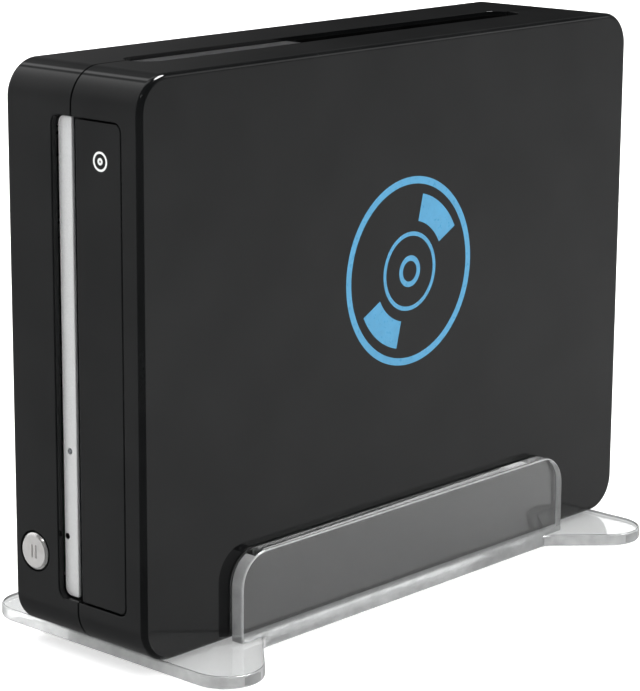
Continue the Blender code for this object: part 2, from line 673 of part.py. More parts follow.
def make_gears(matt):
    centre = (GEAR_D, GEAR_H)
    gear = slab("tray_drive_gear", "x", GEAR_X, gear_outline(centre, DRIVE_TEETH, -90 + 180 / DRIVE_TEETH))
    cut(gear, turned("tool.gear_bore", "x", centre, [(0, 1.5), (9, 1.5)], 20))
    for index, spot in enumerate(arc_points(centre, 7.6, 0, 288, 4)):
        cut(gear, turned(f"tool.gear_hole_{index}", "x", spot, [(0, 2.6), (9, 2.6)], 10))
    pivot(gear, 0, *centre)

    centre = (GEAR_D, PINION_H)
    wheel = turned("belt_gear", "x", centre, flanged_rim(9.4, PULLEY_GROOVE), 28)
    teeth = gear_outline(centre, PINION_TEETH, -90)
    weld(wheel, slab("tool.pinion", "x", (PULLEY_X[1] - 0.5, GEAR_X[1]), teeth))
    cut(wheel, turned("tool.pinion_bore", "x", centre, [(0, 1.5), (9, 1.5)], 20))
    pivot(wheel, 0, *centre)

    centre = (GEAR_D, MOTOR_H)
    pulley = turned("motor_pulley", "x", centre, flanged_rim(3.7, MOTOR_GROOVE), 16)
    cut(pulley, turned("tool.pulley_bore", "x", centre, [(0, 1.05), (4, 1.05)], 16))
    pivot(pulley, 0, *centre)
    dress(matt, gear, wheel, pulley)


def make_loading_motor(steel, rubber):
    can = [(-14.5, 11.4), (-14.0, 12), (-2.8, 12), (-2.3, 11.5)]
    collar_and_shaft = [(-2.3, 3.0), (-0.6, 3.0), (-0.6, 0.75), (3.0, 0.75)]
    dress(steel, turned("loading_motor", "x", (GEAR_D, MOTOR_H), can + collar_and_shaft, 24))
    ends = (GEAR_D, PINION_H), (GEAR_D, MOTOR_H)
    inner = loop_around(ends[0], PULLEY_GROOVE + GAP, ends[1], MOTOR_GROOVE + GAP)
    outer = loop_around(ends[0], PULLEY_GROOVE + 1.1, ends[1], MOTOR_GROOVE + 1.1)
    span = (PULLEY_X[0] + 0.7, PULLEY_X[1] - 0.7)
    steps = [(span[0], outer), (span[1], outer), (span[1], inner), (span[0], inner)]
    belt = stack("loading_belt", "x", steps, True)
    smooth(belt, 30)
    dress(rubber, belt)


def make_clamp(steel, matt):
    """A bridge across the drive and the loose disc that its hole holds."""
    outline = rectangle(around(SPINDLE[0], 15), (18.2, 160.8))
    bridge = slab("clamp_bridge", "x", (17.3, 18.5), outline)
    cut(bridge, turned("tool.clamp_hole", "x", SPINDLE, [(16, 11.4), (20, 11.4)], 24))
    dress(steel, bridge)
    under = [(15.3, 7.9), (12.7, 7.9), (12.7, 12.6), (13.1, 13), (15.6, 13)]
    neck_and_cap = [(15.6, 10.9), (18.8, 10.9), (18.8, 12.6), (19.5, 12.6)]
    puck = turned("clamp_disc", "x", SPINDLE, under + neck_and_cap, 24)
    dress(matt, pivot(puck, 0, *SPINDLE))


# ------------------------------------------------------------------ the traverse, drawn raised
def make_traverse(steel, matt, dark):
    """The traverse and what it carries, drawn in the playing position, then hung on its hinge."""
    d, h = SPINDLE
    frame = slab("traverse_frame", "x", (-1.0, 1.5), rounded((49.5, 161.0), (44.5, 134.5), 5, 3))
    cut(frame, block("tool.sled_window", (-4, 4), (SLED_D[0] - 1.5, 153.0), around(h, 28)))
    cut(frame, block("tool.stepper_notch", (-4, 4), (82.2, 96.8), around(SCREW_H, 4.2)))
    for index, (rod_h, half) in enumerate(((ROD_H[0], 3), (ROD_H[1], 2.2), (SCREW_H, 3.5))):
        weld(frame, block(f"tool.rear_seat_{index}", (1.0, 6.4), (154.0, 157.0), around(rod_h, half)))
    for index, rod_h in enumerate(ROD_H):
        weld(frame, block(f"tool.front_seat_{index}", (1.0, 6.4), (83.5, 87.0), around(rod_h, 2.8)))
    for name, ends in (("low", (38.2, 46)), ("high", (133, 140.8))):
        weld(frame, turned(f"tool.hinge_pin_{name}", "h", HINGE, [(ends[0], 1.1), (ends[1], 1.1)], 16))
    weld(frame, turned("tool.cam_pin", "d", (HINGE[0], h), [(45.9, 1.15), (51, 1.15)], 16))

    flange_and_can = [(1.8, 14.5), (3.0, 14.5), (3.0, 12.5), (8.9, 12.5)]
    motor = turned("spindle_motor", "x", SPINDLE, flange_and_can + [(8.9, 1.2), (12.2, 1.2)], 24)
    disc_seat = 11.2
    platter = [(12.6, 1.5), (9.3, 1.5), (9.3, 14.0), (9.7, 14.4), (disc_seat, 14.4)]
    hub = [(disc_seat, 7.4), (12.6, 7.4), (13.4, 6.6)]
    turntable = pivot(turned("turntable", "x", SPINDLE, platter + hub, 24), disc_seat, *SPINDLE)

    rods = []
    for index, rod_h in enumerate(ROD_H):
        rods.append(turned(f"guide_rod_{index + 1}", "d", (ROD_X, rod_h), [(87.3, 1.5), (153.7, 1.5)], 16))

    can = [(83.0, 3.4), (83.4, 3.5), (94.6, 3.5), (95.0, 3.4)]
    stepper = turned("sled_motor", "d", (SCREW_X, SCREW_H), can, 24)
    screw = turned("lead_screw", "d", (SCREW_X, SCREW_H), [(95.4, 1.15), (153.6, 1.15)], 14)
    pivot(screw, SCREW_X, 95.4, SCREW_H)
    sled, lens = make_sled(matt)
    dress(steel, frame, motor, stepper, screw, *rods)
    dress(dark, turntable)
    hang_on_hinge([frame, motor, turntable, stepper, screw, sled, lens, *rods])


def make_sled(matt):
    h = SPINDLE[1]
    wing = (2.0, 6.0)
    sled = block("pickup_sled", (-4.5, wing[1]), SLED_D, around(h, 26.5))
    weld(sled, block("tool.sled_wing_low", wing, SLED_D, (ROD_H[0] - 3.7, 64)))
    weld(sled, block("tool.sled_wing_high", wing, SLED_D, (115, ROD_H[1] + 3.7)))
    weld(sled, block("tool.sled_nut", (2.0, 4.6), (100, 112), (123, 127.5)))
    weld(sled, block("tool.lens_cover", (5, 7.0), (SLED_D[0] + 0.8, 110), around(h, 10)))
    for index, rod_h in enumerate(ROD_H):
        cut(sled, turned(f"tool.rod_bore_{index}", "d", (ROD_X, rod_h), [(80, 1.8), (130, 1.8)], 20))
    cut(sled, block("tool.sled_underside", (-6, 1.5), grown(SLED_D, -3.5), around(h, 23)))
    cut(sled, turned("tool.lens_seat", "x", (LENS_D, h), [(5.6, 4.2), (9, 4.2)], 24))
    dress(matt, sled)
    dome = [(5.9, 3.9), (7.2, 3.9), (7.2, 2.8), (7.7, 2.3), (8.1, 1.2)]
    lens = turned("objective_lens", "x", (LENS_D, h), dome, 18)
    dress(paint("lens glass", (0.25, 0.3, 0.45), 0.05), lens)
    return sled, lens


def hang_on_hinge(pieces):
    """Parent the pieces and their tools to an empty on the hinge, then let it drop."""
    x, d = HINGE
    hinge = bpy.data.objects.new("traverse_hinge", None)
    hinge.location = world(x, d, SPINDLE[1])
    bpy.context.scene.collection.objects.link(hinge)
    for piece in pieces:
        for obj in [piece] + [modifier.object for modifier in piece.modifiers]:
            obj.parent = hinge
            obj.matrix_parent_inverse = Matrix.Translation(-hinge.location)
    hinge.rotation_euler.z = math.radians(-LOWERED)


def make_cam_slider(matt):
    """A plate with a slanting slot; the traverse's front pin rides in the slot."""
    x, hinge_d = HINGE
    h = SPINDLE[1]
    arm = hinge_d - (CAM_D[0] + CAM_D[1]) / 2
    low = (x - arm * math.tan(math.radians(LOWERED)), h)
    high = (x, h + CAM_TRAVEL)
    slant = math.degrees(math.atan2(high[1] - low[1], high[0] - low[0]))
    radius = 1.6
    outline = arc_points(low, radius, slant + 90, slant + 270, 8)
    outline += arc_points(high, radius, slant - 90, slant + 90, 8)
    slider = slab("cam_slider", "d", CAM_D, rounded((-14.0, 3.6), (h - 6, h + CAM_TRAVEL + 6), 1.5, 3))
    cut(slider, slab("tool.cam_slot", "d", grown(CAM_D, 2), outline))
    dress(matt, slider)


# ------------------------------------------------------------------ the whole object
def main():
    for obj in list(bpy.data.objects):
        bpy.data.objects.remove(obj, do_unlink=True)

    gloss = paint("gloss black shell", BLACK, 0.08)
    silver = paint("silver paint", (0.55, 0.56, 0.56), 0.35, 0.6)
    matt = paint("matt black plastic", DARK, 0.5)
    dark = paint("black moulding", (0.02, 0.02, 0.02), 0.4)
    steel = paint("zinc plated steel", (0.52, 0.53, 0.54), 0.35, 1.0)
    rubber = paint("black rubber", (0.015, 0.015, 0.015), 0.8)
    board_green = paint("circuit board", (0.02, 0.11, 0.045), 0.45)

    make_stand()
    make_case(gloss)
    make_vent_insert(gloss)
    make_screws(steel)
    make_feet(rubber)
    make_trim_strip(silver)
    make_eject_button(silver)
    make_light_pipe()
    make_bezel()
    make_eject_switch(board_green, dark)
    make_rear_panel(matt)
    make_switch(matt, dark)
    make_sockets(steel, dark)
    make_bridge_board(board_green, dark)
    make_brackets(steel)
    make_covers(steel)
    make_chassis(matt)
    make_drive_boards(board_green, dark)
    make_tray(matt, gloss)
    make_gears(matt)
    make_loading_motor(steel, rubber)
    make_clamp(steel, matt)
    make_traverse(steel, matt, dark)
    make_cam_slider(matt)
    bpy.context.view_layer.update()


main()
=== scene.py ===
"""Looks for the external disc drive: detailed pieces, materials, floor, lights and camera.

Sizes are in millimetres. A point is (x, d, h): x to the right across the case, d the depth
behind the case's front face and h the height above the case's underside. world() turns it
into the frame's metres.
"""

import json
import math

import bmesh
import bpy
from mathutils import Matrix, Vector

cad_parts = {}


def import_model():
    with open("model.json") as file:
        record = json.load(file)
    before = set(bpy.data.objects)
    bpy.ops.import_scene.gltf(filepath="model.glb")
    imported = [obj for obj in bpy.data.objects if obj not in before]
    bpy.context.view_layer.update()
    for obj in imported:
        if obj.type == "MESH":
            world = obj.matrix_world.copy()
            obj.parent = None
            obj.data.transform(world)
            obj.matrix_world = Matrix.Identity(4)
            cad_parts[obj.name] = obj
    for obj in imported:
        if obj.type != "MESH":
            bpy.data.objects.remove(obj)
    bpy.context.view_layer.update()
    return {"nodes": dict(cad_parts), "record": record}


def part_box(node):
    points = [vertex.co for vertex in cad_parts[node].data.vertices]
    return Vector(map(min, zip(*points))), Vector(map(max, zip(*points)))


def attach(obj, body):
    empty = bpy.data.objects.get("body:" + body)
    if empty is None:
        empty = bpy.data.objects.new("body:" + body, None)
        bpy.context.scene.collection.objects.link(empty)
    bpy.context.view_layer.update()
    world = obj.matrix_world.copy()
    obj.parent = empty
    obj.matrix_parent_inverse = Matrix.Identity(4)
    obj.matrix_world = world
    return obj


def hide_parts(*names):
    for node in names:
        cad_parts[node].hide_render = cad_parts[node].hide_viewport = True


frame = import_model()

MM = 0.001


# ------------------------------------------------------------------ the frame's own sizes
def span(node, axis):
    """A CAD node's interval in millimetres, in case coordinates: axis is x, d or h."""
    low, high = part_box(node)
    index = "xdh".index(axis)
    shift = (0.0, CASE_FRONT, CASE_UNDER)[index]
    return (low[index] / MM - shift, high[index] / MM - shift)


CASE_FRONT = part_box("left_shell")[0].y / MM
CASE_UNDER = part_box("left_shell")[0].z / MM
CASE_DEPTH = span("left_shell", "d")[1]
CASE_HEIGHT = span("left_shell", "h")[1]
HALF = span("right_shell", "x")[1]      # half of the case's width
BUTTON = (sum(span("eject_button", "x")) / 2, sum(span("eject_button", "h")) / 2)

# ------------------------------------------------------------------ sizes and places
WALL = 2.2
GAP = 0.3                       # between neighbouring pieces
INK = 0.04                      # thickness of a printed mark

CASE_CORNER = 11.5              # radius in the side view
CASE_EDGE = 1.8                 # rounding where a side meets the rim
SEAM_NOTCH = (0.2, 0.5)         # width and depth of the step along the seam, in each half
SCREW_SEAT = -21.8
SCREW_HEAD = 1.4
SCREW_PLACES = [(14.0, 8.2), (223.5, 8.2), (14.0, 170.8), (223.5, 170.8)]

FENCE_X = (HALF + 0.4, HALF + 5.4)
FENCE_D = (37.0, 199.5)
FENCE_FOOT = 1.6                # height up to which the fences count as part of the base's rim
EAR_TIP = (42.0, 21.4)          # centre of a front ear's round end
EAR_RADIUS = 12.1

BUTTON_HOLE = 6.55
OPENING_X = (-8.6, 21.2)
OPENING_H = (14.2, 164.6)
TRAY_SLOT_X = (3.3, 13.2)
LIGHT = (-5.3, 61.0)
EJECT_HOLE = (-6.9, 33.7)

SLOT_X = (-5.4, 8.4)
SLOT_D = (23.0, 206.5)
POCKET_X = (-4.4, 7.4)
POCKET_D = (99.0, 205.4)
POCKET_DEPTH = 1.3
VENT_X = (-2.7, 5.7)
VENT_FIRST = 105
VENT_PITCH = 9.0
VENT_WIDTH = 5.5
VENT_COUNT = 11

WINDOW_X = (-19.5, 19.5)
WINDOW_H = (27.5, 147.5)
WINDOW_CORNER = 3
SWITCH_X = (-6.5, 6.5)
SWITCH_H = (123.5, 142.5)
ROCKER_AXIS = (230.0, 133.0)
JACK = (-6.5, 108.0)
USB_X = (-11.7, -0.9)
USB_H = (80.0, 92.0)
SECOND_X = (-11.7, -6.2)
SECOND_H = (60.0, 72.0)
REAR_SLIT_X = (-14, 14)
REAR_SLIT_FIRST = 34
REAR_SLIT_PITCH = 4.5
REAR_SLIT_WIDTH = 2.5

CAMERA_PLACE = (567.475, -520.031, 279.456)
CAMERA_AZIMUTH = 43.572
CAMERA_ELEVATION = 13.474
CAMERA_LENS = 137.28
CAMERA_SHIFT = 0.1013


def world(x, d, h):
    """A point's place in the frame, in metres."""
    return Vector((x, d + CASE_FRONT, h + CASE_UNDER)) * MM


# ------------------------------------------------------------------ outlines
def circle(a, b, radius, count=48):
    """A circle round (a, b)."""
    step = 2 * math.pi / count
    return [(a + radius * math.cos(i * step), b + radius * math.sin(i * step)) for i in range(count)]


def rounded(a, b, radii, arc=10):
    """A rectangle over the intervals a and b, its corners rounded, from the low-low corner on."""
    if not isinstance(radii, (list, tuple)):
        radii = [radii] * 4
    corners = [
        (a[0], b[0], 1, 1, 180), (a[1], b[0], -1, 1, 270),
        (a[1], b[1], -1, -1, 0), (a[0], b[1], 1, -1, 90),
    ]
    points = []
    for (ca, cb, sa, sb, start), radius in zip(corners, radii):
        for i in range(arc + 1):
            angle = math.radians(start + 90 * i / arc)
            point_a = ca + sa * radius + radius * math.cos(angle)
            point_b = cb + sb * radius + radius * math.sin(angle)
            points.append((point_a, point_b))
    return points


def grown(interval, by):
    """The interval with both ends moved out by by."""
    return (interval[0] - by, interval[1] + by)


def about(middle, half):
    """The interval that reaches half to either side of its middle."""
    return (middle - half, middle + half)


def stadium(x, d, by=0.0, arc=12):
    """A long hole with round ends over the intervals x and d, grown by by."""
    x, d = grown(x, by), grown(d, by)
    return rounded(x, d, (x[1] - x[0]) / 2 - 0.01, arc)


# ------------------------------------------------------------------ solids
PLACE = {
    "x": lambda level, a, b: (level, a, b),
    "d": lambda level, a, b: (a, level, b),
    "h": lambda level, a, b: (a, b, level),
}


def make(name, loops, closed=False):
    """A solid whose skin runs from loop to loop; its ends are capped unless they meet."""
    bm = bmesh.new()
    rings = [[bm.verts.new(world(*point)) for point in loop] for loop in loops]
    pairs = list(zip(rings, rings[1:]))
    if closed:
        pairs.append((rings[-1], rings[0]))
    else:
        bm.faces.new(rings[0])
        bm.faces.new(rings[-1])
    for low, high in pairs:
        for i in range(len(low)):
            j = (i + 1) % len(low)
            bm.faces.new((low[i], low[j], high[j], high[i]))
    bmesh.ops.recalc_face_normals(bm, faces=bm.faces)
    mesh = bpy.data.meshes.new(name)
    bm.to_mesh(mesh)
    bm.free()
    obj = bpy.data.objects.new(name, mesh)
    bpy.context.scene.collection.objects.link(obj)
    return obj


def stack(name, axis, steps, closed=False):
    """A solid through (level, outline) steps along an axis."""
    place = PLACE[axis]
    return make(name, [[place(level, a, b) for a, b in outline] for level, outline in steps], closed)


def turned(name, axis, centre, profile, count=48, closed=False):
    """A round solid through (level, radius) steps along an axis."""
    steps = [(level, circle(*centre, max(radius, 0.001), count)) for level, radius in profile]
    return stack(name, axis, steps, closed)


def quarter_turns(steps):
    """Angles from nothing to a right angle."""
    return [math.pi / 2 * i / steps for i in range(steps + 1)]


def plate(name, axis, levels, outline_at, edge=0.4, steps=3):
    """A slab with rounded rims. outline_at(by) gives its outline grown by by."""
    low, high = levels
    first = []
    last = []
    for t in quarter_turns(steps):
        outline = outline_at(-(edge - edge * math.cos(t)))
        first.append((low + edge - edge * math.sin(t), outline))
        last.append((high - edge + edge * math.sin(t), outline))
    return stack(name, axis, list(reversed(first)) + last)


def mouth(name, axis, surface, inward, outline_at, lip, depth, steps=4):
    """A cutter whose edge rolls outwards by lip where it leaves the surface.

    surface is the level of the face that it enters, inward is 1 or -1, and depth how far it goes.
    """
    levels = [(surface - inward * 1.0, outline_at(lip))]
    for t in quarter_turns(steps):
        levels.append((surface + inward * (lip - lip * math.cos(t)), outline_at(lip - lip * math.sin(t))))
    levels.append((surface + inward * depth, outline_at(0)))
    return stack(name, axis, levels)


def block(name, x, d, h, edge=0.2, steps=2):
    """A box with rounded edges."""
    def outline_at(by):
        return rounded(grown(d, by), grown(h, by), max(edge + by, 0.01), steps + 1)
    return plate(name, "x", x, outline_at, edge, steps)


def ring_profile(low, high, radius, edge, steps=3):
    """(level, radius) pairs of a disc with rounded rims."""
    turns = quarter_turns(steps)
    first = [(low + edge - edge * math.sin(t), radius - edge + edge * math.cos(t)) for t in reversed(turns)]
    last = [(high - edge + edge * math.sin(t), radius - edge + edge * math.cos(t)) for t in turns]
    return first + last


def print_ring(name, axis, centre, surface, outward, outer, inner):
    """A thin printed ring on a flat face."""
    levels = (surface, surface + outward * INK)
    profile = [(levels[0], outer), (levels[1], outer - 0.02), (levels[1], inner + 0.02), (levels[0], inner)]
    return turned(name, axis, centre, profile, 96, True)


def combine(target, tools, operation):
    """Apply exact Booleans one after another, and remove the tools."""
    for tool in tools:
        modifier = target.modifiers.new(tool.name, "BOOLEAN")
        modifier.operation = operation
        modifier.object = tool
    graph = bpy.context.evaluated_depsgraph_get()
    mesh = bpy.data.meshes.new_from_object(target.evaluated_get(graph))
    target.modifiers.clear()
    target.data = mesh
    mesh.name = target.name
    for tool in tools:
        bpy.data.objects.remove(tool)


def cut(target, *tools):
    combine(target, tools, "DIFFERENCE")


def weld(target, *tools):
    combine(target, tools, "UNION")


def finish(obj, material, body, replaced=(), angle=32):
    """Shade, dress and mount one piece."""
    obj.data.materials.clear()
    obj.data.materials.append(material)
    obj.data.shade_smooth()
    obj.data.set_sharp_from_angle(angle=math.radians(angle))
    weighted = obj.modifiers.new("weighted", "WEIGHTED_NORMAL")
    weighted.keep_sharp = True
    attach(obj, body)
    if replaced:
        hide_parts(*replaced)


# ------------------------------------------------------------------ materials
class Nodes:
    """A small helper that adds and links shader nodes."""

    def __init__(self, name):
        self.material = bpy.data.materials.new(name)
        self.material.use_nodes = True
        self.tree = self.material.node_tree
        self.shader = self.tree.nodes["Principled BSDF"]
        self.place = self.add("ShaderNodeTexCoord").outputs["Object"]

    def add(self, kind, **values):
        node = self.tree.nodes.new(kind)
        for key, value in values.items():
            setattr(node, key, value)
        return node

    def link(self, source, target):
        self.tree.links.new(source, target)

    def noise(self, scale, detail=3.0, stretch=None, roughness=0.5):
        node = self.add("ShaderNodeTexNoise")
        node.inputs["Scale"].default_value = scale
        node.inputs["Detail"].default_value = detail
        node.inputs["Roughness"].default_value = roughness
        source = self.place
        if stretch:
            mapping = self.add("ShaderNodeMapping")
            mapping.inputs["Scale"].default_value = stretch
            self.link(source, mapping.inputs["Vector"])
            source = mapping.outputs["Vector"]
        self.link(source, node.inputs["Vector"])
        return node.outputs["Fac"]

    def between(self, factor, low, high, start=0.3, end=0.7):
        node = self.add("ShaderNodeMapRange")
        node.inputs["From Min"].default_value = start
        node.inputs["From Max"].default_value = end
        node.inputs["To Min"].default_value = low
        node.inputs["To Max"].default_value = high
        self.link(factor, node.inputs["Value"])
        return node.outputs["Result"]

    def colours(self, factor, low, high, start=0.3, end=0.7):
        ramp = self.add("ShaderNodeValToRGB")
        ramp.color_ramp.elements[0].position = start
        ramp.color_ramp.elements[0].color = (*low, 1)
        ramp.color_ramp.elements[1].position = end
        ramp.color_ramp.elements[1].color = (*high, 1)
        self.link(factor, ramp.inputs["Fac"])
        return ramp.outputs["Color"]

    def paint(self, factor, low, high, start=0.3, end=0.7):
        """Let the surface's colour run between two colours."""
        self.link(self.colours(factor, low, high, start, end), self.shader.inputs["Base Color"])

    def rough(self, factor, low, high):
        """Let the surface's roughness run between two values."""
        self.link(self.between(factor, low, high), self.shader.inputs["Roughness"])

    def bump(self, height, strength, distance=0.0002):
        node = self.add("ShaderNodeBump")
        node.inputs["Strength"].default_value = strength
        node.inputs["Distance"].default_value = distance
        self.link(height, node.inputs["Height"])
        self.link(node.outputs["Normal"], self.shader.inputs["Normal"])

    def set(self, **values):
        for key, value in values.items():
            self.shader.inputs[key.replace("_", " ")].default_value = value


def gloss_black_plastic():
    """Injection moulded black plastic, polished, with faint waviness, dust and wipe marks."""
    n = Nodes("gloss black plastic")
    n.paint(n.noise(40, 4), (0.0045, 0.0048, 0.005), (0.0075, 0.0078, 0.008))
    wipes = n.noise(26, 5, (1.0, 0.35, 1.6), 0.65)
    n.rough(wipes, 0.055, 0.11)
    n.bump(n.noise(60, 2), 0.02, 0.0003)
    n.set(IOR=1.33)
    return n.material


def trough_plastic_with_painted_sheen():
    """The trough's front floor: the same plastic with a duller finish, and a lighter colour that is a
    painted reflection.
    """
    n = Nodes("satin black plastic with painted sheen")
    n.paint(n.noise(60, 4), (0.02, 0.02, 0.021), (0.026, 0.026, 0.027))
    n.rough(n.noise(300, 4), 0.36, 0.42)
    n.bump(n.noise(1500, 3), 0.015, 0.0001)
    n.set(IOR=1.38)
    return n.material


def grille_plastic_painted_shade():
    """The grille's plastic in the trough's rear half: near black and with no reflection at all. This is
    painted shade that makes the deep rear of the trough read as shadow.
    """
    n = Nodes("grille plastic painted as shade")
    n.paint(n.noise(90, 4), (0.002, 0.002, 0.002), (0.004, 0.004, 0.004))
    n.rough(n.noise(300, 4), 0.5, 0.65)
    n.bump(n.noise(2500, 3), 0.15, 0.0001)
    # No specular reflection: the surface shows only as painted shade.
    n.set(Specular_IOR_Level=0.0)
    return n.material


def matt_black_plastic():
    """Spark-eroded matt black plastic with a fine grain."""
    n = Nodes("grained black plastic")
    n.paint(n.noise(90, 5), (0.012, 0.012, 0.012), (0.022, 0.022, 0.023))
    n.rough(n.noise(220, 4), 0.42, 0.6)
    n.bump(n.noise(3800, 4, None, 0.65), 0.35, 0.00012)
    return n.material


def silver_paint():
    """Silver lacquer: fine flake, a soft clear layer and slight mottling."""
    n = Nodes("silver lacquer")
    flake = n.noise(5200, 2, None, 0.6)
    n.paint(flake, (0.545, 0.555, 0.555), (0.72, 0.725, 0.725), 0.25, 0.75)
    n.rough(n.noise(160, 4), 0.3, 0.42)
    n.bump(flake, 0.06, 0.00008)
    n.set(Metallic=0.35, Coat_Weight=0.35, Coat_Roughness=0.12)
    return n.material


def satin_metal(name, metallic, low, high):
    """The button's brushed, nickel-like skin, a little warm and with soft streaks."""
    n = Nodes(name)
    streaks = n.noise(700, 3, (1.0, 1.0, 0.08))
    n.paint(n.noise(300, 4), low, high)
    n.rough(streaks, 0.14, 0.26)
    n.bump(streaks, 0.05, 0.00008)
    n.set(Metallic=metallic)
    return n.material


def clear_acrylic():
    """Polished cast acrylic with a faint cool tint and slight ripple."""
    n = Nodes("clear acrylic")
    n.paint(n.noise(30, 2), (0.78, 0.79, 0.79), (0.82, 0.825, 0.825))
    n.rough(n.noise(90, 3), 0.008, 0.03)
    n.bump(n.noise(70, 2), 0.03, 0.0003)
    n.set(IOR=1.49, Transmission_Weight=0.995)
    return n.material


def acrylic_edge(name, low, high, relief):
    """The acrylic's rims: moulded, a little hazy, with a pebbled ripple that scatters light."""
    n = Nodes(name)
    n.paint(n.noise(220, 4), low, high)
    n.rough(n.noise(160, 3), 0.04, 0.16)
    n.bump(n.noise(300, 3), relief, 0.0007)
    n.set(IOR=1.49, Transmission_Weight=0.5)
    return n.material


def plated_steel():
    """Zinc-plated steel sheet: a faint spangle and rolling lines."""
    n = Nodes("zinc plated steel")
    lines = n.noise(900, 3, (0.06, 0.06, 1.0))
    n.paint(n.noise(120, 4), (0.44, 0.45, 0.46), (0.58, 0.585, 0.59))
    n.rough(lines, 0.24, 0.42)
    n.bump(lines, 0.05, 0.0001)
    n.set(Metallic=1.0)
    return n.material


def black_rubber():
    n = Nodes("black rubber")
    n.paint(n.noise(140, 5), (0.012, 0.012, 0.012), (0.028, 0.028, 0.028))
    n.rough(n.noise(400, 4), 0.68, 0.9)
    n.bump(n.noise(2600, 4), 0.3, 0.0001)
    return n.material


def circuit_board():
    """Green solder resist over copper tracks on a square grid."""
    n = Nodes("circuit board")
    bricks = n.add("ShaderNodeTexBrick")
    bricks.inputs["Scale"].default_value = 160
    bricks.inputs["Color1"].default_value = (0.008, 0.075, 0.03, 1)
    bricks.inputs["Color2"].default_value = (0.012, 0.1, 0.04, 1)
    bricks.inputs["Mortar"].default_value = (0.03, 0.17, 0.07, 1)
    turn = n.add("ShaderNodeMapping")
    turn.inputs["Rotation"].default_value = (0, math.pi / 2, 0)
    n.link(n.place, turn.inputs["Vector"])
    n.link(turn.outputs["Vector"], bricks.inputs["Vector"])
    n.link(bricks.outputs["Color"], n.shader.inputs["Base Color"])
    n.rough(n.noise(200, 3), 0.25, 0.4)
    n.bump(bricks.outputs["Fac"], 0.1, 0.0001)
    return n.material


def simple(name, low, high, roughness, metallic=0.0, grain=400, relief=0.05):
    """A moulded or turned material with a mottled colour, uneven gloss and a fine relief."""
    n = Nodes(name)
    n.paint(n.noise(80, 4), low, high)
    n.rough(n.noise(grain, 4), roughness * 0.8, roughness * 1.2)
    n.bump(n.noise(grain * 5, 3), relief, 0.0001)
    n.set(Metallic=metallic)
    return n.material


def screen_print(name, colour):
    """Printed ink, slightly uneven and a little duller than the plastic under it."""
    n = Nodes(name)
    low = tuple(0.9 * c for c in colour)
    n.paint(n.noise(500, 4), low, colour)
    n.rough(n.noise(700, 3), 0.25, 0.4)
    n.bump(n.noise(4000, 2), 0.08, 0.00005)
    return n.material


# ------------------------------------------------------------------ the stand
def ear_outline(by, side, fillet=7.0):
    """A quarter of the base plate's outline, grown by by: the bend beside the fence and the ear."""
    reach = sum(EAR_TIP) + EAR_RADIUS * math.sqrt(2)
    bend = fillet * math.tan(math.radians(22.5))
    centre = (side + fillet, reach - side + bend)
    arcs = [(centre, fillet - by, 180, 45, 8), (EAR_TIP, EAR_RADIUS + by, 45, -135, 24)]
    points = []
    for (x, d), radius, start, sweep, steps in arcs:
        for i in range(steps + 1):
            angle = math.radians(start + sweep * i / steps)
            points.append((x + radius * math.cos(angle), d + radius * math.sin(angle)))
    return points


def base_outline(by, side):
    """The whole base plate: the quarter mirrored to the left and to the rear."""
    quarter = ear_outline(by, side)
    front = quarter + [(-x, d) for x, d in reversed(quarter)]
    return front + [(x, CASE_DEPTH - d) for x, d in reversed(front)]


def split_faces(obj, point, normal):
    """Cut the faces of a mesh along a plane, and keep both sides."""
    bm = bmesh.new()
    bm.from_mesh(obj.data)
    everything = list(bm.verts) + list(bm.edges) + list(bm.faces)
    bmesh.ops.bisect_plane(bm, geom=everything, plane_co=world(*point), plane_no=normal)
    bm.to_mesh(obj.data)
    bm.free()


def make_stand(acrylic, edge, side_band_painted_shade):
    """Base and fences: clear faces, hazy rims, and the base's long side edges as darker bands, painted
    shade for the contact shadow beneath the case.
    """
    low, high = span("stand", "h")
    side = FENCE_X[1]
    stand = plate("stand_clear", "h", (low, -GAP), lambda by: base_outline(by, side), 0.7, 4)
    walls = []
    for sign in (1, -1):
        def wall_at(by):
            return rounded(grown(FENCE_D, by), (-2.0, high + by), (0.2, 0.2, 11.0 + by, 11.0 + by), 14)
        levels = FENCE_X if sign > 0 else (-side, -FENCE_X[0])
        walls.append(plate(f"fence_{sign}", "x", levels, wall_at, 0.8, 4))
    weld(stand, *walls)
    split_faces(stand, (0, 0, FENCE_FOOT), (0, 0, 1))
    finish(stand, acrylic, "stand", ["stand"], 40)
    stand.data.materials.append(edge)
    stand.data.materials.append(side_band_painted_shade)
    foot = world(0, 0, FENCE_FOOT).z
    for face in stand.data.polygons:
        upright = abs(face.normal.x) > 0.97
        if abs(face.normal.z) > 0.9 or (upright and face.center.z > foot):
            face.material_index = 0
        else:
            # Index 2 is the darker material on the long side edges below the fences: painted shade.
            face.material_index = 2 if upright else 1


# ------------------------------------------------------------------ the case
def case_outline(inset):
    """The case seen from the side, inset from its rim."""
    return rounded((inset, CASE_DEPTH - inset), (inset, CASE_HEIGHT - inset), CASE_CORNER - inset, 20)


def case_half(name, side):
    """One half of the case: an open-sided box whose rounded side lies outwards."""
    inner = HALF - WALL
    across, deep = SEAM_NOTCH
    seam = GAP / 2
    steps = [(inner, WALL), (seam, WALL), (seam, deep), (seam + across, deep), (seam + across, 0.0)]
    for t in quarter_turns(8):
        steps.append((HALF - CASE_EDGE + CASE_EDGE * math.sin(t), CASE_EDGE * (1 - math.cos(t))))
    return stack(name, "x", [(side * x, case_outline(inset)) for x, inset in steps])


def opening_at(by):
    """The front opening for the strip and the tray."""
    return rounded(grown(OPENING_X, by), grown(OPENING_H, by), 3.0 + by, 10)


def window_at(by):
    """The rear window for the rear panel."""
    return rounded(grown(WINDOW_X, by), grown(WINDOW_H, by), WINDOW_CORNER + by)


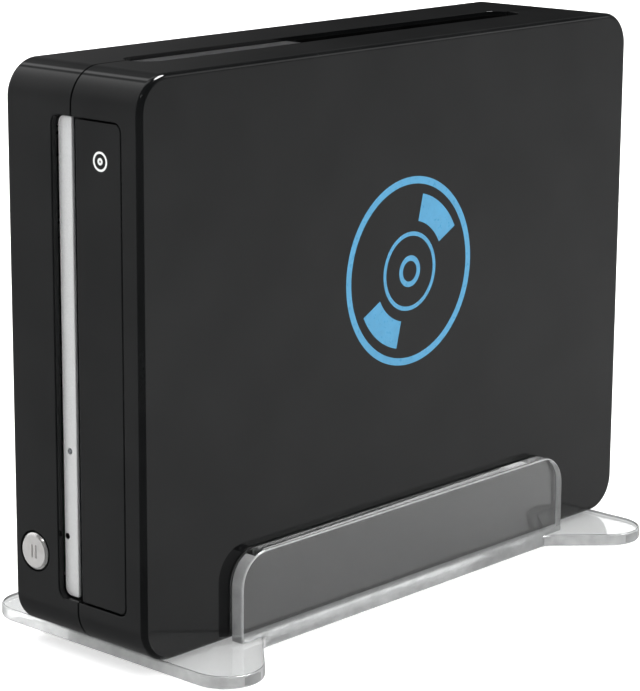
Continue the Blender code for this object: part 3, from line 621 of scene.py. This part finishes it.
def make_case(gloss):
    """Both halves with their screw bosses, openings, trough and button hole."""
    right = case_half("right_shell_skin", 1)
    left = case_half("left_shell_skin", -1)
    inner = HALF - WALL
    for index, (d, h) in enumerate(SCREW_PLACES):
        weld(left, turned(f"left_boss_{index}", "x", (d, h), [(-inner - 1, 4.4), (-GAP / 2, 4.4)], 32))
        well = [(-HALF - 1, 3.8), (-HALF, 3.6), (-HALF + 0.35, 3.2)]
        well += [(SCREW_SEAT, 3.2), (SCREW_SEAT, 1.7), (1, 1.7)]
        cut(left, turned(f"well_{index}", "x", (d, h), well, 32))
        weld(right, turned(f"right_boss_{index}", "x", (d, h), [(GAP / 2, 4.0), (inner + 1, 4.0)], 32))
        cut(right, turned(f"pilot_{index}", "x", (d, h), [(-1, 1.7), (12, 1.7)], 24))
    for half in (left, right):
        cut(half, mouth("opening", "d", 0, 1, opening_at, 0.45, 6))
        cut(half, mouth("slot", "h", CASE_HEIGHT, -1, lambda by: stadium(SLOT_X, SLOT_D, by), 0.15, 4))
        cut(half, mouth("window", "d", CASE_DEPTH, -1, window_at, 0.4, 4))
    cut(left, mouth("button_hole", "d", 0, 1, lambda by: circle(*BUTTON, BUTTON_HOLE + by, 64), 0.2, 4))
    finish(right, gloss, "case", ["right_shell"], 30)
    finish(left, gloss, "case", ["left_shell"], 30)


# ------------------------------------------------------------------ the top and the front
def make_vent_insert(gloss, satin, dark):
    """The trough's floor: a plain front part, and a sunk grille with slits behind it."""
    low, high = span("vent_insert", "h")
    flange_top = low + 1.5

    def flange_at(by):
        return stadium(SLOT_X, SLOT_D, 2.0 + by)

    def body_at(by):
        return stadium(SLOT_X, SLOT_D, by - GAP)
    insert = plate("vent_insert_flange", "h", (low, flange_top), flange_at, 0.25, 2)
    weld(insert, plate("insert_body", "h", (flange_top - 0.8, high), body_at, 0.4, 3))
    pocket = mouth("pocket", "h", high, -1, lambda by: stadium(POCKET_X, POCKET_D, by), 0.2, POCKET_DEPTH)
    slits = []
    for i in range(VENT_COUNT):
        first = VENT_FIRST + VENT_PITCH * i

        def slit_at(by):
            return rounded(grown(VENT_X, by), grown((first, first + VENT_WIDTH), by), 0.9 + by, 5)
        slits.append(mouth(f"slit_{i}", "h", high - POCKET_DEPTH, -1, slit_at, 0.2, 4.0, 2))
    cut(insert, pocket, *slits)
    divide = POCKET_D[0] - 1.0
    split_faces(insert, (0, divide, 0), (0, 1, 0))
    finish(insert, gloss, "case", ["vent_insert"])
    # Material 1 goes on the front floor's upward faces. It is the lighter satin copy, a painted reflection.
    insert.data.materials.append(satin)
    # Material 2 goes on the rear part. It is the near-black grille plastic with no reflection, painted
    # shade.
    insert.data.materials.append(dark)
    front_part = world(0, divide, 0).y
    for face in insert.data.polygons:
        if face.center.y > front_part:
            face.material_index = 2
        elif face.normal.z > 0.99:
            face.material_index = 1


def make_trim_strip(silver, eject_hole_shade):
    """The silver strip; the wall and lip of its small eject hole are black moulding, painted shade for the
    inside of the hole.
    """
    x, h = span("front_trim_strip", "x"), span("front_trim_strip", "h")

    def outline(by):
        return rounded(grown(x, by), grown(h, by), (2.6 + by, 0.6 + by, 0.6 + by, 2.6 + by), 8)
    strip = plate("trim_strip", "d", span("front_trim_strip", "d"), outline, 0.35, 4)
    front = span("front_trim_strip", "d")[0]
    cut(strip, mouth("light_hole", "d", front, 1, lambda by: circle(*LIGHT, 1.0 + by, 40), 0.12, 3, 3))
    cut(strip, mouth("eject_hole", "d", front, 1, lambda by: circle(*EJECT_HOLE, 0.9 + by, 32), 0.1, 3, 3))
    finish(strip, silver, "case", ["front_trim_strip"])
    strip.data.materials.append(eject_hole_shade)
    # Faces round the eject hole get the black moulding: painted shade.
    hole = world(EJECT_HOLE[0], 0, EJECT_HOLE[1])
    eject_hole_shade_radius = 1.05
    for face in strip.data.polygons:
        if math.hypot(face.center.x - hole.x, face.center.z - hole.z) < eject_hole_shade_radius * MM:
            face.material_index = 1


def make_tray_front(gloss, white):
    """The tray's front panel with a plain ring and dot printed on it."""
    x, d, h = (span("tray_front_panel", axis) for axis in "xdh")

    def outline(by):
        return rounded(grown(x, by), grown(h, by), (0.7 + by, 2.4 + by, 2.4 + by, 0.7 + by), 8)
    panel = plate("tray_front", "d", d, outline, 0.6, 5)
    finish(panel, gloss, "tray", ["tray_front_panel"])
    centre = (12.0, 152.5)
    for name, outer, inner in (("panel_ring_mark", 3.0, 2.3), ("panel_dot_mark", 1.1, 0.35)):
        finish(print_ring(name, "d", centre, d[0], -1, outer, inner), white, "tray")


def make_disc_mark(blue):
    """A plain picture of a disc on the case's right side: rings, a hub and two light streaks."""
    centre = (121.0, 104.0)
    rings = [(31.0, 28.6), (13.0, 11.6), (5.2, 3.4)]
    streak_radii = (25.5, 16.5)
    streak_half = 24
    for index, (outer, inner) in enumerate(rings):
        ring = print_ring(f"disc_mark_ring_{index + 1}", "x", centre, HALF, 1, outer, inner)
        finish(ring, blue, "case")
    for index, middle in enumerate((52, 232)):
        outline = []
        for radius, turn in zip(streak_radii, (1, -1)):
            for offset in range(-streak_half, streak_half + 1, 4):
                angle = math.radians(middle + turn * offset)
                point_d = centre[0] + radius * math.cos(angle)
                outline.append((point_d, centre[1] + radius * math.sin(angle)))
        streak = stack(f"disc_mark_streak_{index + 1}", "x", [(HALF, outline), (HALF + INK, outline)])
        finish(streak, blue, "case")


def make_eject_button(silver, polished, dark):
    """A slightly dished cap with two engraved bars, a polished rim and a dark neck."""
    cap = [(-0.45, 0.001), (-0.48, 2.4), (-0.56, 4.0), (-0.63, 4.9), (-0.65, 5.1), (-0.61, 5.22)]
    cap += [(-0.05, 5.8), (0.05, 5.9), (0.15, 5.9), (0.2, 5.8), (0.21, 5.3), (3.4, 5.3)]
    button = turned("eject_button_cap", "d", BUTTON, cap, 96)
    x, h = BUTTON
    bar = block("button_bar", about(x, 3), (2.6, 3.4), about(h, 8.6), 0.15)
    plunger = turned("plunger", "d", BUTTON, ring_profile(3.0, 4.4, 2.0, 0.3), 32)
    weld(button, bar, plunger)
    grooves = []
    for index, along in enumerate((-0.85, 0.85)):
        groove_x, groove_h = about(x + along, 0.3), about(h, 2.1)

        def groove_at(by):
            return rounded(grown(groove_x, by), grown(groove_h, by), 0.25 + by, 4)
        grooves.append(stack(f"groove_{index}", "d", [(-0.9, groove_at(0.12)), (-0.1, groove_at(0.0))]))
    cut(button, *grooves)
    finish(button, silver, "eject_button", ["eject_button"], 28)
    button.data.materials.append(polished)
    button.data.materials.append(dark)
    neck_depth, rim_radius = 0.17, 5.15
    middle = world(x, 0, h)
    for face in button.data.polygons:
        away = math.hypot(face.center.x - middle.x, face.center.z - middle.z)
        if face.center.y > middle.y + neck_depth * MM:
            face.material_index = 2
        elif away > rim_radius * MM:
            face.material_index = 1


def make_light_pipe(pipe):
    """The activity light's round window and the arm that leads light to it."""
    low, high = span("activity_light_pipe", "d")
    rod = [(low, 0.25), (low + 0.06, 0.5), (low + 0.2, 0.72), (low + 0.35, 0.8), (high, 0.8)]
    piece = turned("light_pipe", "d", LIGHT, rod, 32)
    x = span("activity_light_pipe", "x")
    weld(piece, block("arm", (x[0], LIGHT[0]), (high - 1.4, high), about(LIGHT[1], 0.7), 0.15))
    finish(piece, pipe, "case", ["activity_light_pipe"])


def make_bezel(moulding):
    """The drive's own front frame behind the strip."""
    x, d, h = (span("drive_bezel", axis) for axis in "xdh")
    bezel = plate("bezel", "d", d, lambda by: rounded(grown(x, by), grown(h, by), 1.5 + by, 5), 0.4, 3)
    inside = rounded(grown(x, -2), grown(h, -2), 0.6, 3)
    hollow = stack("hollow", "d", [(6.2, inside), (12, inside)])
    tray_h = grown(span("disc_tray", "h"), 0.4)

    def slot_at(by):
        return rounded(grown(TRAY_SLOT_X, by), grown(tray_h, by), 0.5 + by, 4)
    slot = mouth("tray_slot", "d", d[0], 1, slot_at, 0.4, 4)
    light = turned("bezel_light", "d", LIGHT, [(2, 1.3), (8, 1.3)], 32)
    pin = turned("bezel_pin", "d", EJECT_HOLE, [(2, 1.0), (8, 1.0)], 24)
    notch = block("notch", (-12, -7.5), (6.7, 12), about(LIGHT[1], 1.5), 0.1)
    cut(bezel, hollow, slot, light, pin, notch)
    finish(bezel, moulding, "case", ["drive_bezel"])


# ------------------------------------------------------------------ screws and feet
def make_screws(steel):
    """Pan-head screws with a cross recess and a threaded shank."""
    seat = span("case_screw_1", "x")[0] + SCREW_HEAD
    recess = (seat - 2, seat - 0.5)
    arm, slit = 1.45, 0.3
    for index, (d, h) in enumerate(SCREW_PLACES):
        head = [(seat - SCREW_HEAD, 1.6), (seat - 1.32, 2.1), (seat - 1.1, 2.5)]
        head += [(seat - 0.75, 2.75), (seat - 0.4, 2.8), (seat, 2.8)]
        shank = [(seat, 1.4)]
        level = seat + 1.0
        while level < 8.0:
            shank += [(level, 1.05), (level + 0.5, 1.4)]
            level += 1.0
        screw = turned(f"case_screw_skin_{index + 1}", "x", (d, h), head + shank + [(9.0, 0.6)], 40)
        cross = block("cross_d", recess, about(d, arm), about(h, slit), 0.05)
        weld(cross, block("cross_h", recess, about(d, slit), about(h, arm), 0.05))
        cut(screw, cross)
        finish(screw, steel, "case", [f"case_screw_{index + 1}"])


def make_feet(rubber):
    """The slightly dished rubber feet on the left side."""
    for number in range(1, 5):
        node = f"case_foot_{number}"
        x, d, h = (span(node, axis) for axis in "xdh")
        centre = (sum(d) / 2, sum(h) / 2)
        profile = [(x[1], 4.85), (x[1] - 0.15, 5.0), (x[0] + 0.45, 4.95), (x[0] + 0.2, 4.82)]
        profile += [(x[0] + 0.06, 4.6), (x[0], 4.3), (x[0], 3.0), (x[0] + 0.12, 2.7), (x[0] + 0.15, 0.001)]
        foot = turned(f"rubber_foot_{number}", "x", centre, profile, 56)
        finish(foot, rubber, "case", [node])


# ------------------------------------------------------------------ the rear
def make_rear_panel(matt, white):
    """The rear panel with its gaps, slits and plain printed marks."""
    x, d, h = (span("rear_panel", axis) for axis in "xdh")

    def flange_at(by):
        return rounded(grown(x, by), grown(h, by), 4 + by, 6)

    def face_at(by):
        by -= GAP
        return rounded(grown(WINDOW_X, by), grown(WINDOW_H, by), WINDOW_CORNER + by, 8)
    panel = plate("rear_panel_flange", "d", (d[0], 234.0), flange_at, 0.3, 2)
    weld(panel, plate("rear_face", "d", (233.2, d[1]), face_at, 0.35, 3))
    face = d[1]

    def gap(name, gx, gh, corner=0.3):
        def gap_at(by):
            return rounded(grown(gx, by), grown(gh, by), corner + by, 4)
        return mouth(name, "d", face, -1, gap_at, 0.25, 5, 3)
    holes = (("switch", SWITCH_X, SWITCH_H), ("usb", USB_X, USB_H), ("second", SECOND_X, SECOND_H))
    gaps = [gap(f"{name}_gap", grown(hole_x, GAP), grown(hole_h, GAP)) for name, hole_x, hole_h in holes]
    for i in range(5):
        first = REAR_SLIT_FIRST + REAR_SLIT_PITCH * i
        gaps.append(gap(f"rear_slit_{i}", REAR_SLIT_X, (first, first + REAR_SLIT_WIDTH), 1.2))
    gaps.append(mouth("jack_gap", "d", face, -1, lambda by: circle(*JACK, 5.0 + by, 56), 0.25, 5, 3))
    cut(panel, *gaps)
    finish(panel, matt, "case", ["rear_panel"])
    ink = (face, face + INK)
    for index, mark_h in enumerate((86.0, 66.0)):
        bar = block(f"rear_mark_bar_{index + 1}", about(6.0, 2.6), ink, about(mark_h, 0.3), 0.01, 1)
        finish(bar, white, "case")
    beside_jack = (4.5, JACK[1])
    for name, outer, inner in (("jack_mark_ring", 1.7, 1.4), ("jack_mark_dot", 0.7, 0.02)):
        finish(print_ring(name, "d", beside_jack, face, 1, outer, inner), white, "case")


def make_switch(moulding):
    """The power switch's frame round its rocker."""
    frame_d = span("power_switch_frame", "d")
    body = block("switch_frame", SWITCH_X, (frame_d[0], 235.8), SWITCH_H, 0.3)

    def lip_at(by):
        return rounded(grown(SWITCH_X, 1.3 + by), grown(SWITCH_H, 1.5 + by), 0.9 + by, 5)

    def well_at(by):
        return rounded(grown(SWITCH_X, by - 1.3), grown(SWITCH_H, by - 1.8), 0.3 + by, 3)
    weld(body, plate("switch_lip", "d", (235.5, frame_d[1]), lip_at, 0.3, 3))
    well = mouth("switch_well", "d", frame_d[1], -1, well_at, 0.3, 12.8, 3)
    cut(body, well, turned("rocker_bore", "x", ROCKER_AXIS, [(-6.0, 1.2), (6.0, 1.2)], 24))
    finish(body, moulding, "case", ["power_switch_frame"])


def make_power_inlet(moulding, brass):
    """The round power inlet and its pin."""
    x, d, h = (span("dc_jack", axis) for axis in "xdh")
    jack = block("power_jack", x, (d[0], 231.9), h, 0.3)
    weld(jack, turned("jack_nose", "d", JACK, [(231, 4.6), (235.2, 4.6), (235.5, 4.45), (235.6, 4.2)], 56))
    profile = [(237, 3.7), (235.65, 3.45), (235.3, 3.1), (223, 3.1), (223, 1.3)]
    cut(jack, turned("jack_mouth", "d", JACK, profile + [(222.9, 0.001)], 48))
    finish(jack, moulding, "case", ["dc_jack"])
    pin = turned("power_jack_pin", "d", JACK, [(222.5, 1.0), (233.6, 1.0), (234.0, 0.8), (234.2, 0.4)], 32)
    finish(pin, brass, "case")


def make_usb_socket(steel, blue, brass):
    """The data socket's steel shell, its blue tongue and the contacts on it."""
    def shell_at(by):
        return rounded(grown(USB_X, by), grown(USB_H, by), 0.6 + by, 4)
    shell = plate("usb_shell", "d", span("usb_socket", "d"), shell_at, 0.12, 2)
    opening = rounded(grown(USB_X, -0.5), grown(USB_H, -0.5), 0.4, 4)
    cut(shell, stack("usb_mouth", "d", [(219, opening), (240, opening)]))
    finish(shell, steel, "case", ["usb_socket"])
    tx, td, th = (span("usb_tongue", axis) for axis in "xdh")
    finish(block("usb_insert", tx, td, th, 0.25), blue, "case", ["usb_tongue"])
    faces = [(tx[0] - 0.12, tx[0] + 0.02), (tx[1] - 0.02, tx[1] + 0.12)]
    for side, x in enumerate(faces):
        for i in range(2):
            h = about(sum(th) / 2 + (i - 0.5) * 2.2, 0.45)
            blade = block(f"usb_contact_{2 * side + i + 1}", x, (222, td[1] - 0.6), h, 0.03, 1)
            finish(blade, brass, "case")


def make_second_socket(moulding, brass):
    """The slim second data socket with its tongue and contacts."""
    x, d, h = (span("esata_socket", axis) for axis in "xdh")

    def outline(by):
        return rounded(grown(x, by), grown(h, by), 0.5 + by, 4)
    second = plate("second_socket", "d", d, outline, 0.15, 2)
    cut(second, block("second_mouth", grown(SECOND_X, -0.7), (223, 240), grown(SECOND_H, -1.0), 0.2))
    weld(second, block("second_tongue", (-9.4, -8.4), (222, 234.5), (62.4, 69.6), 0.15))
    finish(second, moulding, "case", ["esata_socket"])
    for i in range(7):
        blade_h = about(63.2 + i * 0.93, 0.25)
        blade = block(f"second_contact_{i + 1}", (-8.42, -8.34), (225, 234.0), blade_h, 0.02, 1)
        finish(blade, brass, "case")


# ------------------------------------------------------------------ CAD nodes that keep their shape
def dress_cad(looks):
    """Give every CAD node that still shows the material of its slot."""
    for node, material in looks.items():
        obj = frame["nodes"][node]
        if obj.hide_render:
            continue
        if not obj.data.materials:
            obj.data.materials.append(material)
        for index in range(len(obj.data.materials)):
            obj.data.materials[index] = material


# ------------------------------------------------------------------ the studio
def make_floor():
    """A pale floor that glows a little, so that it runs into the white backdrop."""
    n = Nodes("pale floor")
    n.paint(n.noise(3, 3), (0.8, 0.8, 0.8), (0.83, 0.83, 0.83))
    n.rough(n.noise(9, 3), 0.85, 0.95)
    n.set(Emission_Color=(1, 1, 1, 1), Emission_Strength=0.45)
    size = 14.0
    bm = bmesh.new()
    corners = [bm.verts.new((sx * size, sy * size, 0)) for sx, sy in ((-1, -1), (1, -1), (1, 1), (-1, 1))]
    bm.faces.new(corners)
    mesh = bpy.data.meshes.new("floor")
    bm.to_mesh(mesh)
    bm.free()
    floor = bpy.data.objects.new("floor", mesh)
    mesh.materials.append(n.material)
    bpy.context.scene.collection.objects.link(floor)
    floor.location.z = -0.2 * MM
    floor.visible_glossy = False


def area_light(name, direction, distance, size, power):
    """A soft rectangle of light that faces the object's middle; the gloss does not mirror it."""
    data = bpy.data.lights.new(name, "AREA")
    data.shape = "RECTANGLE"
    data.size, data.size_y = size
    data.energy = power
    light = bpy.data.objects.new(name, data)
    middle = Vector((0, 0, 0.09))
    light.location = middle + Vector(direction).normalized() * distance
    light.rotation_mode = "QUATERNION"
    light.rotation_quaternion = (middle - light.location).to_track_quat("-Z", "Y")
    light.visible_glossy = False
    bpy.context.scene.collection.objects.link(light)


# Brightness of the room on the object's right, against height: 0 straight down, 1 straight up.
ROOM_STOPS = [
    (0.0, 0.2), (0.2, 0.25), (0.3, 0.4), (0.335, 0.75), (0.39, 0.92),
    (0.43, 0.8), (0.5, 0.5), (0.55, 0.25), (1.0, 0.15),
]
# Brightness of the room on the object's left, against the turn about the x axis in degrees: 0 is
# straight ahead, 90 overhead and 180 behind. Two bright panels overhead, a dim room behind.
TURN_STOPS = [
    (-180, 0.1), (-80, 0.2), (-45, 0.3), (-26, 0.55), (-12, 0.58), (4, 0.55), (20, 0.55), (40, 0.75),
    (60, 0.95), (90, 1.5), (95, 0.3), (100, 0.3), (104, 1.4), (109, 1.4), (115, 0.25), (140, 0.1),
    (160, 0.1), (180, 0.1),
]
# Soft patches: direction, cosine where it begins, cosine where it is full, brightness.
PATCHES = [
    ((-0.54, 0.83, 0.1), 0.955, 0.996, 0.02),
    ((0.7, -0.72, -0.15), 0.1, 0.35, 0.03),
    ((0.12, -0.73, 0.67), 0.72, 0.85, 0.04),
    ((0.0, 0.74, 0.67), 0.9, 0.95, 0.05),
    ((0.56, 0.74, 0.36), 0.975, 0.99, 1.3),
]
# Small bright lamps that only reflections show.
SPARKS = [
    ((0.31, 0.4, 0.86), 0.968, 0.98, 45.0),
    ((0.12, -0.73, 0.67), 0.996, 0.9985, 9.0),
]
SKY_PEAK = 55.0


def make_sky():
    """The room that the gloss mirrors; straight or through clear plastic, the backdrop is white."""
    sky = bpy.data.worlds.new("studio")
    sky.use_nodes = True
    tree = sky.node_tree
    background = tree.nodes["Background"]
    place = tree.nodes.new("ShaderNodeTexCoord").outputs["Generated"]

    def ramp(factor, stops, interpolation="LINEAR"):
        node = tree.nodes.new("ShaderNodeValToRGB")
        node.color_ramp.interpolation = interpolation
        elements = node.color_ramp.elements
        while len(elements) < len(stops):
            elements.new(0.5)
        for element, (position, grey) in zip(elements, stops):
            element.position = position
            element.color = (grey, grey, grey, 1)
        tree.links.new(factor, node.inputs["Fac"])
        return node.outputs["Color"]

    def feed(source, socket):
        if isinstance(source, (float, tuple)):
            socket.default_value = source
        else:
            tree.links.new(source, socket)

    def mix(factor, first, second):
        node = tree.nodes.new("ShaderNodeMix")
        node.data_type = "RGBA"
        for source, socket in ((factor, "Factor"), (first, "A"), (second, "B")):
            feed(source, node.inputs[socket])
        return node.outputs["Result"]

    def math_node(operation, *sources):
        node = tree.nodes.new("ShaderNodeMath")
        node.operation = operation
        for source, socket in zip(sources, node.inputs):
            feed(source, socket)
        return node.outputs["Value"]

    def grey(value):
        return (value / SKY_PEAK, value / SKY_PEAK, value / SKY_PEAK, 1)

    parts = tree.nodes.new("ShaderNodeSeparateXYZ")
    tree.links.new(place, parts.inputs["Vector"])
    x, y, z = (parts.outputs[axis] for axis in "XYZ")
    level = math_node("MULTIPLY_ADD", z, 0.5, 0.5)
    right_half = ramp(level, [(position, value / SKY_PEAK) for position, value in ROOM_STOPS])
    turn = math_node("ARCTAN2", z, math_node("MULTIPLY", y, -1.0))
    turn = math_node("MULTIPLY_ADD", turn, 0.5 / math.pi, 0.5)
    left_half = ramp(turn, [(0.5 + angle / 360, value / SKY_PEAK) for angle, value in TURN_STOPS])
    # The two halves blend between x = -0.15 and x = 0.05.
    side = math_node("MULTIPLY_ADD", x, 5.0, 0.75)
    room = mix(ramp(side, [(0.0, 0.0), (1.0, 1.0)]), left_half, right_half)
    path = tree.nodes.new("ShaderNodeLightPath")
    for patch in PATCHES + SPARKS:
        direction, start, end, value = patch
        towards = tree.nodes.new("ShaderNodeVectorMath")
        towards.operation = "DOT_PRODUCT"
        towards.inputs[1].default_value = Vector(direction).normalized()
        tree.links.new(place, towards.inputs[0])
        inside = ramp(towards.outputs["Value"], [(start, 0.0), (end, 1.0)], "EASE")
        if patch in SPARKS:
            inside = math_node("MULTIPLY", inside, path.outputs["Is Glossy Ray"])
        room = mix(inside, room, grey(value))

    through = math_node("MAXIMUM", path.outputs["Is Camera Ray"], path.outputs["Is Transmission Ray"])
    tree.links.new(mix(through, room, grey(1.0)), background.inputs["Color"])
    background.inputs["Strength"].default_value = SKY_PEAK
    bpy.context.scene.world = sky


def make_lights():
    """The mirrored room and four soft lights for the matt surfaces."""
    make_sky()
    area_light("overhead", (0, 0.1, 1), 2.2, (3.4, 3.4), 84)
    area_light("backdrop", (-0.45, 1.0, 0.9), 3.2, (3.0, 3.0), 90)
    area_light("front_left", (-0.75, -1.0, 0.6), 2.2, (1.4, 1.4), 22)
    area_light("right", (1.0, -0.1, 0.55), 2.2, (1.4, 1.4), 16)


def make_camera():
    """The photograph's viewpoint."""
    azimuth, elevation = math.radians(CAMERA_AZIMUTH), math.radians(CAMERA_ELEVATION)
    level = math.cos(elevation)
    back = Vector((math.sin(azimuth) * level, -math.cos(azimuth) * level, math.sin(elevation)))
    data = bpy.data.cameras.new("camera")
    data.sensor_width = 36.0
    data.lens = CAMERA_LENS
    data.shift_x = CAMERA_SHIFT
    data.clip_end = 60.0
    camera = bpy.data.objects.new("camera", data)
    camera.location = world(*CAMERA_PLACE)
    camera.rotation_mode = "QUATERNION"
    camera.rotation_quaternion = (-back).to_track_quat("-Z", "Y")
    bpy.context.scene.collection.objects.link(camera)
    bpy.context.scene.camera = camera


# ------------------------------------------------------------------ everything
make_camera()
make_floor()
make_lights()
bpy.context.scene.view_settings.view_transform = "Standard"

gloss = gloss_black_plastic()
# satin: the trough's front floor, a duller finish whose lighter colour is a painted reflection.
satin = trough_plastic_with_painted_sheen()
matt = matt_black_plastic()
silver = silver_paint()
acrylic = clear_acrylic()
steel = plated_steel()
rubber = black_rubber()
board = circuit_board()
moulding = simple("black moulding", (0.012, 0.012, 0.012), (0.026, 0.026, 0.026), 0.4)
blue = simple("connector blue", (0.012, 0.07, 0.3), (0.02, 0.1, 0.38), 0.4)
pipe = simple("diffuse light pipe", (0.1, 0.11, 0.12), (0.16, 0.17, 0.18), 0.3)
lens = simple("coated lens", (0.1, 0.12, 0.3), (0.16, 0.2, 0.42), 0.06)
white_ink = screen_print("white ink", (0.72, 0.73, 0.72))
brass = simple("gilded contacts", (0.55, 0.4, 0.16), (0.7, 0.52, 0.24), 0.3, 1.0)

edge = acrylic_edge("hazy acrylic edge", (0.68, 0.69, 0.69), (0.86, 0.87, 0.87), 0.5)
# The base's long side edges: a darker grey, painted shade for the shadow beneath the case.
side_band_painted_shade = acrylic_edge("hazy acrylic side with painted shade", (0.43, 0.44, 0.44), (0.52, 0.53, 0.53), 0.2)
make_stand(acrylic, edge, side_band_painted_shade)
make_case(gloss)
make_vent_insert(gloss, satin, grille_plastic_painted_shade())
make_trim_strip(silver, moulding)
make_tray_front(gloss, white_ink)
make_disc_mark(screen_print("blue ink", (0.07, 0.31, 0.53)))
face_metal = satin_metal("satin metal", 0.5, (0.51, 0.5, 0.492), (0.58, 0.568, 0.56))
rim_metal = satin_metal("polished metal", 0.8, (0.7, 0.69, 0.68), (0.8, 0.79, 0.78))
make_eject_button(face_metal, rim_metal, moulding)
make_light_pipe(pipe)
make_bezel(moulding)
make_screws(steel)
make_feet(rubber)
make_rear_panel(matt, white_ink)
make_switch(moulding)
make_power_inlet(moulding, brass)
make_usb_socket(steel, blue, brass)
make_second_socket(moulding, brass)

by_slot = {
    "gloss_black": gloss, "matt_black": matt, "black_moulding": moulding, "silver_paint": silver,
    "clear_acrylic": acrylic, "zinc_steel": steel, "black_rubber": rubber, "circuit_board": board,
    "connector_blue": blue, "light_pipe": pipe, "lens_glass": lens,
}
dress_cad({part["node"]: by_slot[part["material_slot"]] for part in frame["record"]["subparts"]})
